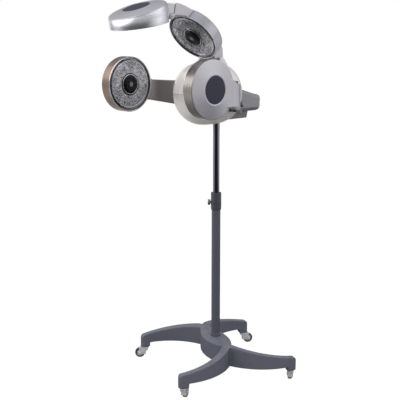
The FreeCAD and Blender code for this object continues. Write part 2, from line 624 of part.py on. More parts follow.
def make_yoke():
    socket_foot = POLE_TOP - SOCKET_LENGTH + 8
    socket = rod(SOCKET_R, Vector(0, 0, socket_foot), Z_AXIS, SOCKET_LENGTH)
    block = box(-YOKE_HALF, YOKE_HALF, -10, TILT_Y + YOKE_R, POLE_TOP, TILT_Z)
    nose = rod(YOKE_R, Vector(-YOKE_HALF, TILT_Y, TILT_Z), X_AXIS, 2 * YOKE_HALF)
    yoke = joined([socket, block, nose])
    yoke = yoke.cut(rod(POLE_R + SPIN_FIT, Vector(0, 0, socket_foot - 1), Z_AXIS,
                        POLE_TOP + 1 - socket_foot))
    yoke = yoke.cut(rod(PIN_R + SPIN_FIT, Vector(-YOKE_HALF - 1, TILT_Y, TILT_Z), X_AXIS,
                        2 * YOKE_HALF + 2))
    keep("swivel_yoke", yoke)

    ear_face = YOKE_HALF + BODY_GAP + EAR
    knob_start = housing_half_width(TILT_Y - TILT_KNOB_R, TILT_Z + TILT_KNOB_R) + 1
    shaft = rod(TILT_SHAFT_R, Vector(ear_face + BODY_GAP, TILT_Y, TILT_Z), X_AXIS,
                knob_start + 2 - ear_face - BODY_GAP)
    knob = turned([(0, 0), (TILT_KNOB_R - 2, 0), (TILT_KNOB_R, 2),
                   (TILT_KNOB_R, TILT_KNOB_LENGTH - 4), (TILT_KNOB_R - 4, TILT_KNOB_LENGTH),
                   (0, TILT_KNOB_LENGTH)], Vector(knob_start, TILT_Y, TILT_Z), X_AXIS)
    grooves = []
    for k in range(6):
        angle = math.radians(60 * k)
        reach = TILT_KNOB_R + 1.5
        start = Vector(knob_start - 1, TILT_Y + reach * math.cos(angle),
                       TILT_Z + reach * math.sin(angle))
        grooves.append(rod(3.0, start, X_AXIS, TILT_KNOB_LENGTH + 2))
    knob = knob.cut(grooves[0].multiFuse(grooves[1:]))
    keep("tilt_lock_knob", joined([shaft, knob]))


def housing_half_width(y, z):
    """Distance from the middle plane to the drum's surface at (y, z)."""
    power = REAR_ROUND if y > HOUSING_Y else FRONT_ROUND
    along = abs(y - HOUSING_Y) / HOUSING_HALF
    radius = HOUSING_R * (1 - along ** power) ** (1 / power)
    return math.sqrt(radius ** 2 - (z - HOUSING_Z) ** 2)


# ---- pods --------------------------------------------------------------------------------------
def pod_cutter(depth, taper):
    """Everything beyond the band's outer edge, a plane leaning by taper degrees."""
    big = 4 * POD_R
    block = Part.makeBox(big, big, big, Vector(-big / 2, -big / 2, 0))
    block.rotate(ORIGIN, X_AXIS, taper)
    block.translate(Vector(0, 0, depth))
    return block


def pod_band(depth, taper):
    tall = depth + POD_R * math.tan(math.radians(taper)) + 1
    floor = CHANNEL_DEPTH + 2.0
    wall_r = POD_R - BAND_WALL
    band = turned([(POD_R - 1.5, 0), (POD_R, 1.5), (POD_R, tall), (wall_r, tall),
                   (wall_r, floor), (RING_R, floor), (RING_R, CHANNEL_DEPTH),
                   (wall_r, CHANNEL_DEPTH), (wall_r, 3.0), (POD_R - LIP_WIDTH, 3.0),
                   (POD_R - LIP_WIDTH, 0)])
    return band.cut(pod_cutter(depth, taper))


def dish_curve(lift):
    """Section of the reflector's dish from the hub out to the bright ring."""
    ring_in = RING_R - RING_WIDTH
    return (Vector(HUB_R, 0, DISH_DEPTH + lift),
            Vector(0.62 * RING_R, 0, DISH_DEPTH - 2 + lift),
            Vector(ring_in, 0, CHANNEL_DEPTH - 3 + lift))


def dish_behind(back):
    """Everything behind the dish's bright face, as far back as back."""
    curve = dish_curve(0)
    hub_back = Vector(HUB_R, 0, back)
    rim_back = Vector(curve[2].x, 0, back)
    face = outline([curve, (curve[2], rim_back), (rim_back, hub_back), (hub_back, curve[0])])
    return face.revolve(ORIGIN, Z_AXIS, 360)


def pod_reflector():
    front, floor = 2.0, CHANNEL_DEPTH + 2
    bright, rear = dish_curve(0), dish_curve(DISH_WALL)
    rim = [Vector(bright[2].x, 0, front), Vector(RING_R, 0, front), Vector(RING_R, 0, floor),
           Vector(rear[2].x, 0, floor)]
    face = outline([bright, (bright[2], rim[0]), (rim[0], rim[1]), (rim[1], rim[2]),
                    (rim[2], rim[3]), (rim[3], rear[2]), rear[::-1], (rear[0], bright[0])])
    return face.revolve(ORIGIN, Z_AXIS, 360)


def pod_guard():
    """Wires of the guard: rings on radial ribs, from the hub out to the bright ring."""
    foot = Vector(0, 0, GUARD_FRONT)
    rim = RING_R - RING_WIDTH - GUARD_WIRE / 2
    half = GUARD_WIRE / 2
    wires = [tube(r + half, r - half, foot, Z_AXIS, GUARD_WIRE) for r in GUARD_RINGS + (rim,)]
    for k in range(GUARD_RIBS):
        rib = box(HUB_R - 1, rim, -half, half, GUARD_FRONT, GUARD_FRONT + GUARD_WIRE)
        rib.rotate(ORIGIN, Z_AXIS, 360 * k / GUARD_RIBS)
        wires.append(rib)
    return wires


def pod_hub():
    """Hub in the middle of the reflector, with the wire guard that it carries."""
    back = DISH_DEPTH + DISH_WALL + 4
    face = -HUB_FRONT
    wall = SHELL
    cap = turned([(0, face + 2), (LENS_R, face + 2), (LENS_R + 1.5, face), (HUB_R - 6, face),
                  (HUB_R - 1, face + 5), (HUB_R, face + 8), (HUB_R, back),
                  (HUB_R - wall, back), (HUB_R - wall, face + 9), (HUB_R - 8, face + wall + 2),
                  (0, face + wall + 2)])
    return joined([cap] + pod_guard())


def pod_lamp():
    """Ring lamp, held off the reflector by its posts."""
    lamp_z = DISH_DEPTH / 2 - 3
    lamp = Part.makeTorus(LAMP_R, LAMP_TUBE_R, Vector(0, 0, lamp_z))
    posts = []
    for k in range(LAMP_POSTS):
        at = polar(LAMP_R, 90 + 360 * k / LAMP_POSTS, lamp_z)
        posts.append(rod(LAMP_POST_R, at, Z_AXIS, DISH_DEPTH))
    return lamp.multiFuse(posts).cut(dish_behind(3 * DISH_DEPTH))


def pod_cone():
    """Outer cover: a shallow cone with a seat for the disc; its base is at height 0."""
    wall = SHELL
    seat = CONE_RISE - 2.5
    edge_r = BADGE_R + 0.3
    return turned([(0, seat - wall), (0, seat), (edge_r, seat), (edge_r, CONE_RISE),
                   (edge_r + 3, CONE_RISE), (POD_R, 2.0), (POD_R, 0), (POD_R - wall, 0),
                   (POD_R - wall, 1.0), (edge_r, CONE_RISE - wall - 2), (edge_r - 4, seat - wall)])


def pod_badge():
    """Slightly domed disc: a cylinder under a large sphere."""
    seat = CONE_RISE - 2.5
    top = seat + BADGE_EDGE + BADGE_CROWN
    dome_r = (BADGE_R ** 2 + BADGE_CROWN ** 2) / (2 * BADGE_CROWN)
    disc = rod(BADGE_R, Vector(0, 0, seat), Z_AXIS, 2 * CONE_RISE)
    return disc.common(Part.makeSphere(dome_r, Vector(0, 0, top - dome_r), Y_AXIS))


def lean(shape, depth, taper):
    """Set a piece that was drawn flat on the band's outer edge."""
    result = shape.copy()
    result.rotate(ORIGIN, X_AXIS, taper)
    result.translate(Vector(0, 0, depth))
    return result


def make_pod(name, local, depth, taper, cover_arm=None, band_arm=None):
    """All pieces of a pod; an arm is one piece with its cover or with its band."""
    keep(name + "_reflector", moved(pod_reflector(), local))
    keep(name + "_hub", moved(pod_hub(), local))
    keep(name + "_lamp", moved(pod_lamp(), local))
    keep(name + "_disc", moved(lean(pod_badge(), depth, taper), local))
    band = moved(pod_band(depth, taper), local)
    cover = moved(lean(pod_cone(), depth, taper), local)
    beyond = pod_cutter(depth, taper)
    if cover_arm:
        # this arm stays outside the band and the disc
        room = rod(POD_R + 0.02, Vector(0, 0, -POD_R), Z_AXIS, 3 * POD_R).cut(beyond)
        seat = lean(rod(BADGE_R + 0.3, Vector(0, 0, -SHELL), Z_AXIS, 4 * CONE_RISE), depth, taper)
        inside = lean(turned([(0, 0), (POD_R - SHELL, 0), (BADGE_R, CONE_RISE - SHELL - 2),
                              (0, CONE_RISE - SHELL - 2)]), depth, taper)
        for hollow in (room, seat, inside):
            cover_arm = cover_arm.cut(moved(hollow, local))
        cover = joined([cover] + cover_arm.Solids)
    if band_arm:
        # this arm ends in the band's wall and under the cover's rim
        room = rod(POD_R - BAND_WALL / 2, Vector(0, 0, -POD_R), Z_AXIS, 3 * POD_R)
        room = room.fuse(rod(POD_R + 2, Vector(0, 0, -POD_R), Z_AXIS, 3 * POD_R).common(beyond))
        band = joined([band] + band_arm.cut(moved(room, local)).Solids)
    keep(name + "_cover", cover)
    keep(name + "_band", band)


# ---- arms -----------------------------------------------------------------------------------------
def side_arm():
    """Right-hand arm: a curved plate from the hinge barrel out to the back of the pod."""
    reach = ARM_BARREL_R / math.sqrt(2)
    tangent = Vector(ARM_HINGE_X + reach, ARM_HINGE_Y + reach, 0)
    bend_x = SIDE_POD_X + POD_DEPTH + 5.3 - ARM_BEND_R
    # the straight stretch runs at 45 degrees and touches the barrel
    drop = ARM_BEND_R / math.sqrt(2)
    start_x = bend_x + drop
    start_y = tangent.y - (start_x - tangent.x)
    bend = Vector(bend_x, start_y - drop, 0)

    def on_bend(radius, degrees):
        angle = math.radians(degrees)
        return bend + Vector(radius * math.cos(angle), radius * math.sin(angle), 0)

    inner_r = ARM_BEND_R - ARM_THICKNESS
    front_y = SIDE_POD_Y + BADGE_R - 4
    outer_front = Vector(bend.x + ARM_BEND_R, front_y, 0)
    inner_front = Vector(bend.x + inner_r, front_y, 0)
    centre = Vector(ARM_HINGE_X, ARM_HINGE_Y, 0)
    plan = outline([
        (centre, tangent), (tangent, on_bend(ARM_BEND_R, 45)),
        (on_bend(ARM_BEND_R, 45), on_bend(ARM_BEND_R, 22.5), on_bend(ARM_BEND_R, 0)),
        (on_bend(ARM_BEND_R, 0), outer_front), (outer_front, inner_front),
        (inner_front, on_bend(inner_r, 0)),
        (on_bend(inner_r, 0), on_bend(inner_r, 22.5), on_bend(inner_r, 45)),
        (on_bend(inner_r, 45), centre)])
    plan.translate(Vector(0, 0, ARM_FOOT - 1))
    flare_z = ARM_EDGE_TOP + ARM_FLARE
    plate = plan.extrude(Vector(0, 0, flare_z - ARM_FOOT + 2))
    side = profile_x([(0, ARM_FOOT), (ARM_HINGE_Y - 10, ARM_FOOT),
                      (SIDE_POD_Y + POD_R + 22, ARM_EDGE_POD - 4),
                      (SIDE_POD_Y, ARM_EDGE_POD), (SIDE_POD_Y, flare_z),
                      (SIDE_POD_Y + POD_R - 12, flare_z), (SIDE_POD_Y + POD_R + 30, ARM_EDGE_TOP),
                      (ARM_HINGE_Y - 30, ARM_TOP), (0, ARM_TOP)], 2 * SIDE_POD_X)
    plate = plate.common(side)
    barrel = turned([(0, 0), (ARM_BARREL_R - 4, 0), (ARM_BARREL_R, 5),
                     (ARM_BARREL_R, ARM_HEIGHT - 5), (ARM_BARREL_R - 4, ARM_HEIGHT),
                     (0, ARM_HEIGHT)],
                    Vector(ARM_HINGE_X, ARM_HINGE_Y, ARM_FOOT))
    arm = plate.fuse(barrel)
    bore = rod(PIN_R + SPIN_FIT, Vector(ARM_HINGE_X, ARM_HINGE_Y, ARM_FOOT - 1), Z_AXIS,
               ARM_HEIGHT + 2)
    return arm.cut(bore)


def neck():
    """Bracket from the neck hinge up to the back of the upper pod."""
    hinge_y, hinge_z, radius = NECK_HINGE_Y, NECK_HINGE_Z, NECK_BARREL_R
    offsets = [(4 - radius, 0), (radius, 0), (radius - 2, 24), (radius - 4, 51), (6, 71),
               (-15, 83), (-36, 90), (-60, 84), (-42, 30)]
    bracket = profile_x([(hinge_y + dy, hinge_z + dz) for dy, dz in offsets], NECK_HALF)
    barrel = rod(radius, Vector(-NECK_HALF, hinge_y, hinge_z), X_AXIS, 2 * NECK_HALF)
    bore = rod(PIN_R + SPIN_FIT, Vector(-NECK_HALF - 1, hinge_y, hinge_z), X_AXIS,
               2 * NECK_HALF + 2)
    return bracket.fuse(barrel).cut(bore)


def upper_arm():
    """Arm above the upper pod, with the outer knuckles of the top hinge."""
    top_y, top_z = TOP_HINGE_Y, TOP_HINGE_Z
    reach = profile_x([(top_y + 11, top_z + 5), (top_y + 20, top_z + 53),
                       (top_y + 46, top_z + 50), (top_y + 74, top_z + 42),
                       (top_y + 111, top_z + 28), (top_y + 165, top_z - 12),
                       (top_y + 120, top_z - 40), (top_y + 74, top_z + 2)], TOP_HALF)
    knuckles = []
    for sign in (-1, 1):
        x0 = min(sign * (TOP_KNUCKLE_HALF + BODY_GAP), sign * TOP_HALF)
        width = TOP_HALF - TOP_KNUCKLE_HALF - BODY_GAP
        knuckles.append(rod(TOP_BARREL_R, Vector(x0, top_y, top_z), X_AXIS, width))
        knuckles.append(box(x0, x0 + width, top_y, top_y + 16, top_z - 4, top_z + 10))
    reach = reach.multiFuse(knuckles)
    middle = rod(TOP_BARREL_R + 1, Vector(-TOP_KNUCKLE_HALF - BODY_GAP, top_y, top_z), X_AXIS,
                 2 * (TOP_KNUCKLE_HALF + BODY_GAP))
    reach = reach.cut(middle)
    reach = reach.cut(rod(TOP_PIN_R, Vector(-TOP_HALF - 1, top_y, top_z), X_AXIS,
                          2 * TOP_HALF + 2))
    return reach


def top_arm():
    top_y, top_z = TOP_HINGE_Y, TOP_HINGE_Z
    block = profile_x([(top_y - 11, top_z + 4), (top_y - 26, top_z + 55),
                       (top_y - 60, top_z + 59), (top_y - 95, top_z + 57),
                       (top_y - 95, top_z + 20), (top_y - 40, top_z - 20),
                       (top_y - 22, top_z - 14)], TOP_HALF)
    knuckle = rod(TOP_BARREL_R, Vector(-TOP_KNUCKLE_HALF, top_y, top_z), X_AXIS,
                  2 * TOP_KNUCKLE_HALF)
    web = box(-TOP_KNUCKLE_HALF, TOP_KNUCKLE_HALF, top_y - 40, top_y, top_z - 5, top_z + 5)
    side_room = []
    for sign in (-1, 1):
        x0 = min(sign * TOP_KNUCKLE_HALF, sign * (TOP_HALF + 1))
        width = TOP_HALF + 1 - TOP_KNUCKLE_HALF
        side_room.append(rod(TOP_BARREL_R + 1, Vector(x0, top_y, top_z), X_AXIS, width))
    arm = block.cut(side_room[0].multiFuse(side_room[1:]))
    arm = arm.multiFuse([knuckle, web])
    return arm.cut(rod(TOP_PIN_R + SPIN_FIT, Vector(-TOP_HALF - 1, top_y, top_z), X_AXIS,
                       2 * TOP_HALF + 2))


def make_top_hinge():
    top_y, top_z = TOP_HINGE_Y, TOP_HINGE_Z
    keep("top_hinge_pin", rod(TOP_PIN_R, Vector(-TOP_HALF, top_y, top_z), X_AXIS, 2 * TOP_HALF))
    wedge = profile_x([(top_y + 11.4, top_z + 3), (top_y + 19.4, top_z + 48),
                       (top_y - 23, top_z + 50), (top_y - 10.5, top_z + 6)], TOP_HALF - 3)
    clear = rod(TOP_BARREL_R + 0.8, Vector(-TOP_HALF, top_y, top_z), X_AXIS, 2 * TOP_HALF)
    keep("top_hinge_wedge", wedge.cut(clear).cut(upper_arm()))


def make_pods():
    down = math.radians(UPPER_POD_TILT)
    upper_out = Vector(0, math.cos(down), math.sin(down))
    upper_y = Vector(0, math.sin(down), -math.cos(down))
    upper = frame_of(Vector(0, UPPER_POD_Y, UPPER_POD_Z), X_AXIS, upper_y, upper_out)
    leaned = math.radians(TOP_POD_LEAN)
    top_out = Vector(0, -math.sin(leaned), math.cos(leaned))
    top_back = Vector(0, math.cos(leaned), math.sin(leaned))
    top = frame_of(Vector(0, TOP_POD_Y, TOP_POD_Z), X_AXIS, top_back, top_out)
    right = frame_of(Vector(SIDE_POD_X, SIDE_POD_Y, SIDE_POD_Z), -Z_AXIS, Y_AXIS, X_AXIS)
    left = frame_of(Vector(-SIDE_POD_X, SIDE_POD_Y, SIDE_POD_Z), Z_AXIS, Y_AXIS, -X_AXIS)
    arm = side_arm()
    make_pod("right_pod", right, POD_DEPTH, 0, cover_arm=arm)
    make_pod("left_pod", left, POD_DEPTH, 0, cover_arm=mirrored(arm))
    make_pod("upper_pod", upper, UPPER_POD_DEPTH, 0, cover_arm=neck(), band_arm=upper_arm())
    make_pod("top_pod", top, TOP_POD_DEPTH, TOP_POD_TAPER, band_arm=top_arm())


# ---- control box ------------------------------------------------------------------------------------
def box_body(inset):
    """Loaf behind the housing: sloping top, rounded nose, rounded edges all along."""
    half = BOX_HALF - inset
    low = BOX_FLOOR + inset
    rear = BOX_REAR - inset
    front_y, front_z = PANEL_FRONT
    rear_y, rear_z = PANEL_REAR
    top = front_z - inset
    tail = rear_z - inset
    middle = (tail + low) / 2
    slope = (rear_z - front_z) / (rear_y - front_y)

    def at(y, z):
        return Vector(-half, y, z)

    side = outline([
        (at(0, low), at(rear - BOX_NOSE, low)),
        (at(rear - BOX_NOSE, low), at(rear - 0.23 * BOX_NOSE, low + BOX_NOSE / 2),
         at(rear, middle)),
        (at(rear, middle), at(rear - 0.42 * BOX_NOSE, tail - BOX_NOSE / 2), at(rear_y, tail)),
        (at(rear_y, tail), at(front_y, top)), (at(front_y, top), at(0, top)),
        (at(0, top), at(0, low))])
    body = side.extrude(Vector(2 * half, 0, 0))

    radius = BOX_CORNER_R - inset
    edge = BOX_EDGE_R - inset
    plan = box(-half, half, -1, rear - radius, low - 1, top + 1)
    for sign in (-1, 1):
        post = round_post(radius, edge, low, tail)
        post.translate(Vector(sign * (half - radius), rear - radius, 0))
        plan = plan.fuse(post)
    plan = plan.fuse(box(-half + radius, half - radius, 0, rear, low - 1, top + 1))

    rise = top - slope * front_y
    over = long_round(half, edge, rise, low - 1, Vector(0, rear + 1, slope * (rear + 1)))
    under = long_round(half, edge, low, top + 1, Vector(0, rear + 1, 0))
    return body.common(plan).common(over).common(under)


def round_post(radius, edge, low, high):
    """Upright post on the Z axis with rounded rims."""
    bend = edge * (1 - math.sqrt(0.5))

    def at(r, z):
        return Vector(r, 0, z)

    face = outline([
        (at(0, low), at(radius - edge, low)),
        (at(radius - edge, low), at(radius - bend, low + bend), at(radius, low + edge)),
        (at(radius, low + edge), at(radius, high - edge)),
        (at(radius, high - edge), at(radius - bend, high - bend), at(radius - edge, high)),
        (at(radius - edge, high), at(0, high)), (at(0, high), at(0, low))])
    return face.revolve(ORIGIN, Z_AXIS, 360)


def long_round(half, radius, edge_z, far_z, run):
    """Bar with its two long edges rounded at edge_z, seen from behind, run along its length."""
    sign = math.copysign(1, edge_z - far_z)
    shoulder = edge_z - sign * radius
    bend = radius * (1 - math.sqrt(0.5))

    def at(x, z):
        return Vector(x, 0, z)

    section = outline([
        (at(-half, far_z), at(-half, shoulder)),
        (at(-half, shoulder), at(bend - half, edge_z - sign * bend), at(radius - half, edge_z)),
        (at(radius - half, edge_z), at(half - radius, edge_z)),
        (at(half - radius, edge_z), at(half - bend, edge_z - sign * bend), at(half, shoulder)),
        (at(half, shoulder), at(half, far_z)), (at(half, far_z), at(-half, far_z))])
    return section.extrude(run)


def slope_frame():
    """Frame on the sloping top: x across, y down the slope, z out of it."""
    front_y, front_z = PANEL_FRONT
    rear_y, rear_z = PANEL_REAR
    length = math.hypot(rear_y - front_y, rear_z - front_z)
    down = Vector(0, (rear_y - front_y) / length, (rear_z - front_z) / length)
    out = X_AXIS.cross(down)
    middle = Vector(0, front_y, front_z) + down * PANEL_AT
    return frame_of(middle, X_AXIS, down, out)


def plinth_frame():
    """Frame on the plinth's rear face: x across, y up the face, z out of it."""
    rise = BOX_FLOOR - PLINTH_FLOOR
    lean_out = PLINTH_REAR_HIGH - PLINTH_REAR_LOW
    length = math.hypot(rise, lean_out)
    up = Vector(0, lean_out / length, rise / length)
    middle = Vector(0, (PLINTH_REAR_LOW + PLINTH_REAR_HIGH) / 2, (BOX_FLOOR + PLINTH_FLOOR) / 2)
    return frame_of(middle, -X_AXIS, up, (-X_AXIS).cross(up))


BUTTONS = {"start_button": -BUTTON_SPACING, "level_button": 0.0, "timer_button": BUTTON_SPACING}


def centred_box(size, at=ORIGIN):
    """Box centred on at in x and y, with its outer face at height at.z."""
    return Part.makeBox(size[0], size[1], size[2],
                        at + Vector(-size[0] / 2, -size[1] / 2, -size[2]))


def make_control_box():
    slope = slope_frame()
    rear = plinth_frame()
    housing = housing_body(0)
    window_at = Vector(0, -14, 0)
    button_y = 18.0

    shell = box_body(0).cut(box_body(SHELL)).cut(housing)
    panel_room = moved(centred_box(PANEL_SIZE), slope)
    window_room = moved(centred_box((WINDOW_SIZE[0] - 6, WINDOW_SIZE[1] - 6, 30),
                                    window_at), slope)
    shell = shell.cut(panel_room).cut(window_room)
    panel = centred_box(PANEL_SIZE).cut(centred_box(WINDOW_SIZE, window_at))
    for name, x in BUTTONS.items():
        at = Vector(x, button_y, -BUTTON_STEM - 12)
        hole = rod(BUTTON_R + BODY_GAP, at, Z_AXIS, BUTTON_STEM + 30)
        panel = panel.cut(hole)
        shell = shell.cut(moved(rod(BUTTON_R + 1.5, at, Z_AXIS, BUTTON_STEM + 30), slope))
        cap = turned([(0, -BUTTON_STEM), (BUTTON_R, -BUTTON_STEM), (BUTTON_R, BUTTON_RISE - 0.8),
                      (BUTTON_R - 0.8, BUTTON_RISE), (0, BUTTON_RISE)])
        cap.translate(Vector(x, button_y, 0))
        keep(name, moved(cap, slope))
    keep("control_panel", moved(panel, slope))
    keep("display_window", moved(centred_box(WINDOW_SIZE, window_at), slope))

    knob_y, knob_z = KNOB_AT
    shaft_hole = rod(KNOB_SHAFT_R + SPIN_FIT, Vector(0, knob_y, knob_z), X_AXIS, BOX_HALF + 5)
    keep("control_box_shell", shell.cut(shaft_hole))
    knob_start = BOX_HALF + 0.5
    shaft = rod(KNOB_SHAFT_R, Vector(BOX_HALF - SHELL - 6, knob_y, knob_z), X_AXIS, SHELL + 8)
    dial = turned([(0, 0), (KNOB_R, 0), (KNOB_R - 1, KNOB_LENGTH - 3),
                   (KNOB_R - 3, KNOB_LENGTH), (0, KNOB_LENGTH)],
                  Vector(knob_start, knob_y, knob_z), X_AXIS)
    keep("side_dial", joined([shaft, dial]))

    def plinth_solid(inset):
        half = PLINTH_HALF - inset
        profile = [(0, PLINTH_FLOOR + inset), (PLINTH_REAR_LOW - inset, PLINTH_FLOOR + inset),
                   (PLINTH_REAR_HIGH - inset, BOX_FLOOR), (0, BOX_FLOOR)]
        return profile_x(profile, half)

    plinth = plinth_solid(0).cut(plinth_solid(SHELL)).cut(housing)
    clear = box(-SOCKET_R - 4, SOCKET_R + 4, -60, SOCKET_R + 26, PLINTH_FLOOR - 5, BOX_FLOOR + 5)
    plinth = plinth.cut(clear)
    inlet_at = Vector(SWITCH_AT, 0, 0)
    switch_at = Vector(-SWITCH_AT, 0, 0)
    plinth = plinth.cut(moved(centred_box(INLET_SIZE, inlet_at + Vector(0, 0, 3)), rear))
    switch_hole = centred_box((SWITCH_SIZE[0] + 2 * SWITCH_SIDE,
                               SWITCH_SIZE[1] + 2 * SWITCH_ROOM, 20),
                              switch_at + Vector(0, 0, 8))
    plinth = plinth.cut(moved(switch_hole, rear))
    keep("control_box_plinth", plinth)

    inlet = centred_box(INLET_FLANGE, inlet_at + Vector(0, 0, INLET_FLANGE[2]))
    inlet = inlet.fuse(centred_box(INLET_SIZE, inlet_at))
    cavity = centred_box((INLET_SIZE[0] - 5, INLET_SIZE[1] - 5, 12),
                         inlet_at + Vector(0, 0, INLET_FLANGE[2]))
    prong = centred_box((2.0, 4.0, 10.0))
    prongs = []
    for x, y in ((-7, -1), (7, -1), (0, 2)):
        copy = prong.copy()
        copy.translate(inlet_at + Vector(x, y, 0))
        prongs.append(copy)
    keep("power_inlet", moved(joined([inlet.cut(cavity)] + prongs), rear))

    half_h = SWITCH_SIZE[1] / 2
    rocker = polygon([Vector(0, -half_h, 3.0), Vector(0, 0, 1.0), Vector(0, half_h, 1.5),
                      Vector(0, half_h - 2, -6.0), Vector(0, -half_h + 2, -6.0)])
    rocker = rocker.extrude(Vector(SWITCH_SIZE[0], 0, 0))
    barrel = rod(ROCKER_R, Vector(0, 0, -ROCKER_DEPTH), X_AXIS, SWITCH_SIZE[0])
    rocker = joined([rocker, barrel])
    rocker.translate(switch_at + Vector(-SWITCH_SIZE[0] / 2, 0, 0))
    keep("power_switch", moved(rocker, rear))

    floor = BOX_FLOOR + SHELL
    low, high = floor + BOARD_RISE, floor + BOARD_RISE + BOARD_SHEET
    board = box(-55, 55, 84, 150, low, high)
    legs = [rod(3, Vector(x, y, floor), Z_AXIS, BOARD_RISE)
            for x in (-48, 48) for y in (90, 144)]
    chips = [box(x, x + 18, 100, 126, high, high + 14.4) for x in (-45, -18, 9)]
    keep("control_board", joined([board] + legs + chips))


# ---- build -----------------------------------------------------------------------------------------------
def build():
    make_base()
    make_column()
    make_pole()
    for name in LEGS:
        make_caster(name)
    make_housing()
    make_frame()
    make_yoke()
    make_top_hinge()
    make_pods()
    make_control_box()
    for name, shape in NODES.items():
        shape.exportStep("parts/%s.step" % name)
        print(name, len(shape.Solids), "solids, valid", shape.isValid())
    print(len(NODES), "nodes")


build()
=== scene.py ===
"""Hair colour processor on a mobile stand: its pieces, finishes and studio."""

import json
import math

import bmesh
import bpy
from bpy.props import FloatProperty, FloatVectorProperty, IntProperty, PointerProperty
from mathutils import Matrix, Vector

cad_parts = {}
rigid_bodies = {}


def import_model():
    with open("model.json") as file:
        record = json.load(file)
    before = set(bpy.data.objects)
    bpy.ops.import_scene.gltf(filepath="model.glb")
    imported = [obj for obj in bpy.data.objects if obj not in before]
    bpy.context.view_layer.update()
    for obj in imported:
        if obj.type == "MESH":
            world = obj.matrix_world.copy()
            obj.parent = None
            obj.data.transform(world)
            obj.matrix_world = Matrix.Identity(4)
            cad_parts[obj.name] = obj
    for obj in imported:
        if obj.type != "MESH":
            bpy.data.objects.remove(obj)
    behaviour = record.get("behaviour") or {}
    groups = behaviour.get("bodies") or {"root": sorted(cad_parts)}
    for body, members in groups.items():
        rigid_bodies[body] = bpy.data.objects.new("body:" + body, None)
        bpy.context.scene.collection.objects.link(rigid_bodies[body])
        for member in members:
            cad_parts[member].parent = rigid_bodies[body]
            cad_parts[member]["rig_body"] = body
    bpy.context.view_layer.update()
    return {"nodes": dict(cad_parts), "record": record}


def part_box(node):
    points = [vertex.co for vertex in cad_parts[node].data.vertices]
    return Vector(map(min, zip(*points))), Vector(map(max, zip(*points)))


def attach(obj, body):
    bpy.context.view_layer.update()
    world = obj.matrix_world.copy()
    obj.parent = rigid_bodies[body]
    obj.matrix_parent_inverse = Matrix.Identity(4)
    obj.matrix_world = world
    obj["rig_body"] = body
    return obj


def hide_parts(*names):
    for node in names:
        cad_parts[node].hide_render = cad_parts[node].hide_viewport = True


bl_info = {
    "name": "Hair colour processor",
    "version": (1, 0, 0),
    "blender": (4, 5, 0),
    "location": "3D View > Sidebar > Salon",
    "description": "Stand, heater pods, housing and control box of a salon hair colour processor",
    "category": "Object",
}

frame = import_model()
PODS = ("right", "left", "upper", "top")
# Depth of each pod, from its front edge to its cover
POD_DEPTH = {"right": 0.045, "left": 0.045, "upper": 0.043, "top": 0.057}
# The top pod's cover leans on its band by this angle
TOP_LEAN = math.radians(9.3)
# Casters: how far out their stems stand, and each leg's angle and the turn of its wheel
STEM_REACH = 0.346
CASTER_ANGLES = {"front": (-68.1, 118.0), "right": (21.9, 135.0), "rear": (111.9, 60.0),
                 "left": (201.9, 225.0)}
WHEEL_TRAIL = 0.026
PARTING_HEIGHT = 1.219
DIAL_FACE = 0.082


def paint_colour(red, green, blue):
    """Display values from 0 to 255 as a linear colour."""
    def linear(value):
        value /= 255
        return value / 12.92 if value <= 0.04045 else ((value + 0.055) / 1.055) ** 2.4
    return (linear(red), linear(green), linear(blue), 1.0)


def colour_of(value):
    """A setting's colour, or three display values, as a linear colour."""
    return tuple(value) if len(value) == 4 else paint_colour(*value)


def darker(colour, share):
    return tuple(value * share for value in colour[:3]) + (1.0,)


def colour_property(name, description, red, green, blue):
    return FloatVectorProperty(name=name, description=description, subtype="COLOR", size=4,
                               min=0.0, max=1.0, default=paint_colour(red, green, blue))


def length_property(name, description, default):
    return FloatProperty(name=name, description=description, default=default, min=0.0,
                         unit="LENGTH", subtype="DISTANCE")


# ---- settings ---------------------------------------------------------------------------
class StandSettings(bpy.types.PropertyGroup):
    """Sizes and colours of the base, the mast and the casters."""
    paint: colour_property("Base paint", "Powder coat of the base", 98, 101, 115)
    paint_worn: colour_property("Worn paint", "Where the base's edges are rubbed", 158, 160, 170)
    column: colour_property("Column paint", "Powder coat of the lower column", 86, 88, 98)
    collar: colour_property("Collar", "Moulded height collar", 72, 74, 82)
    tread_dark: colour_property("Dark tread", "Tread of two casters", 52, 53, 58)
    tread_brown: colour_property("Brown tread", "Tread of the other two casters", 122, 112, 106)
    cast_voxel: length_property("Casting detail", "Grid that rounds the base's edges", 0.0026)
    wheel_radius: length_property("Wheel radius", "Over the tread", 0.0225)
    collar_radius: length_property("Collar radius", "Outside of the height collar", 0.0225)


class HeadSettings(bpy.types.PropertyGroup):
    """Colours of the housing and the arms."""
    ivory: colour_property("Housing", "Pearl finish in front", 238, 233, 230)
    ivory_low: colour_property("Lower housing", "Pearl finish of the lower shell", 220, 216, 213)
    arm_voxel: length_property("Arm detail", "Grid that rounds the arms' edges", 0.0017)
    joint_height: length_property("Parting line", "Height of the housing's parting line",
                                  PARTING_HEIGHT)


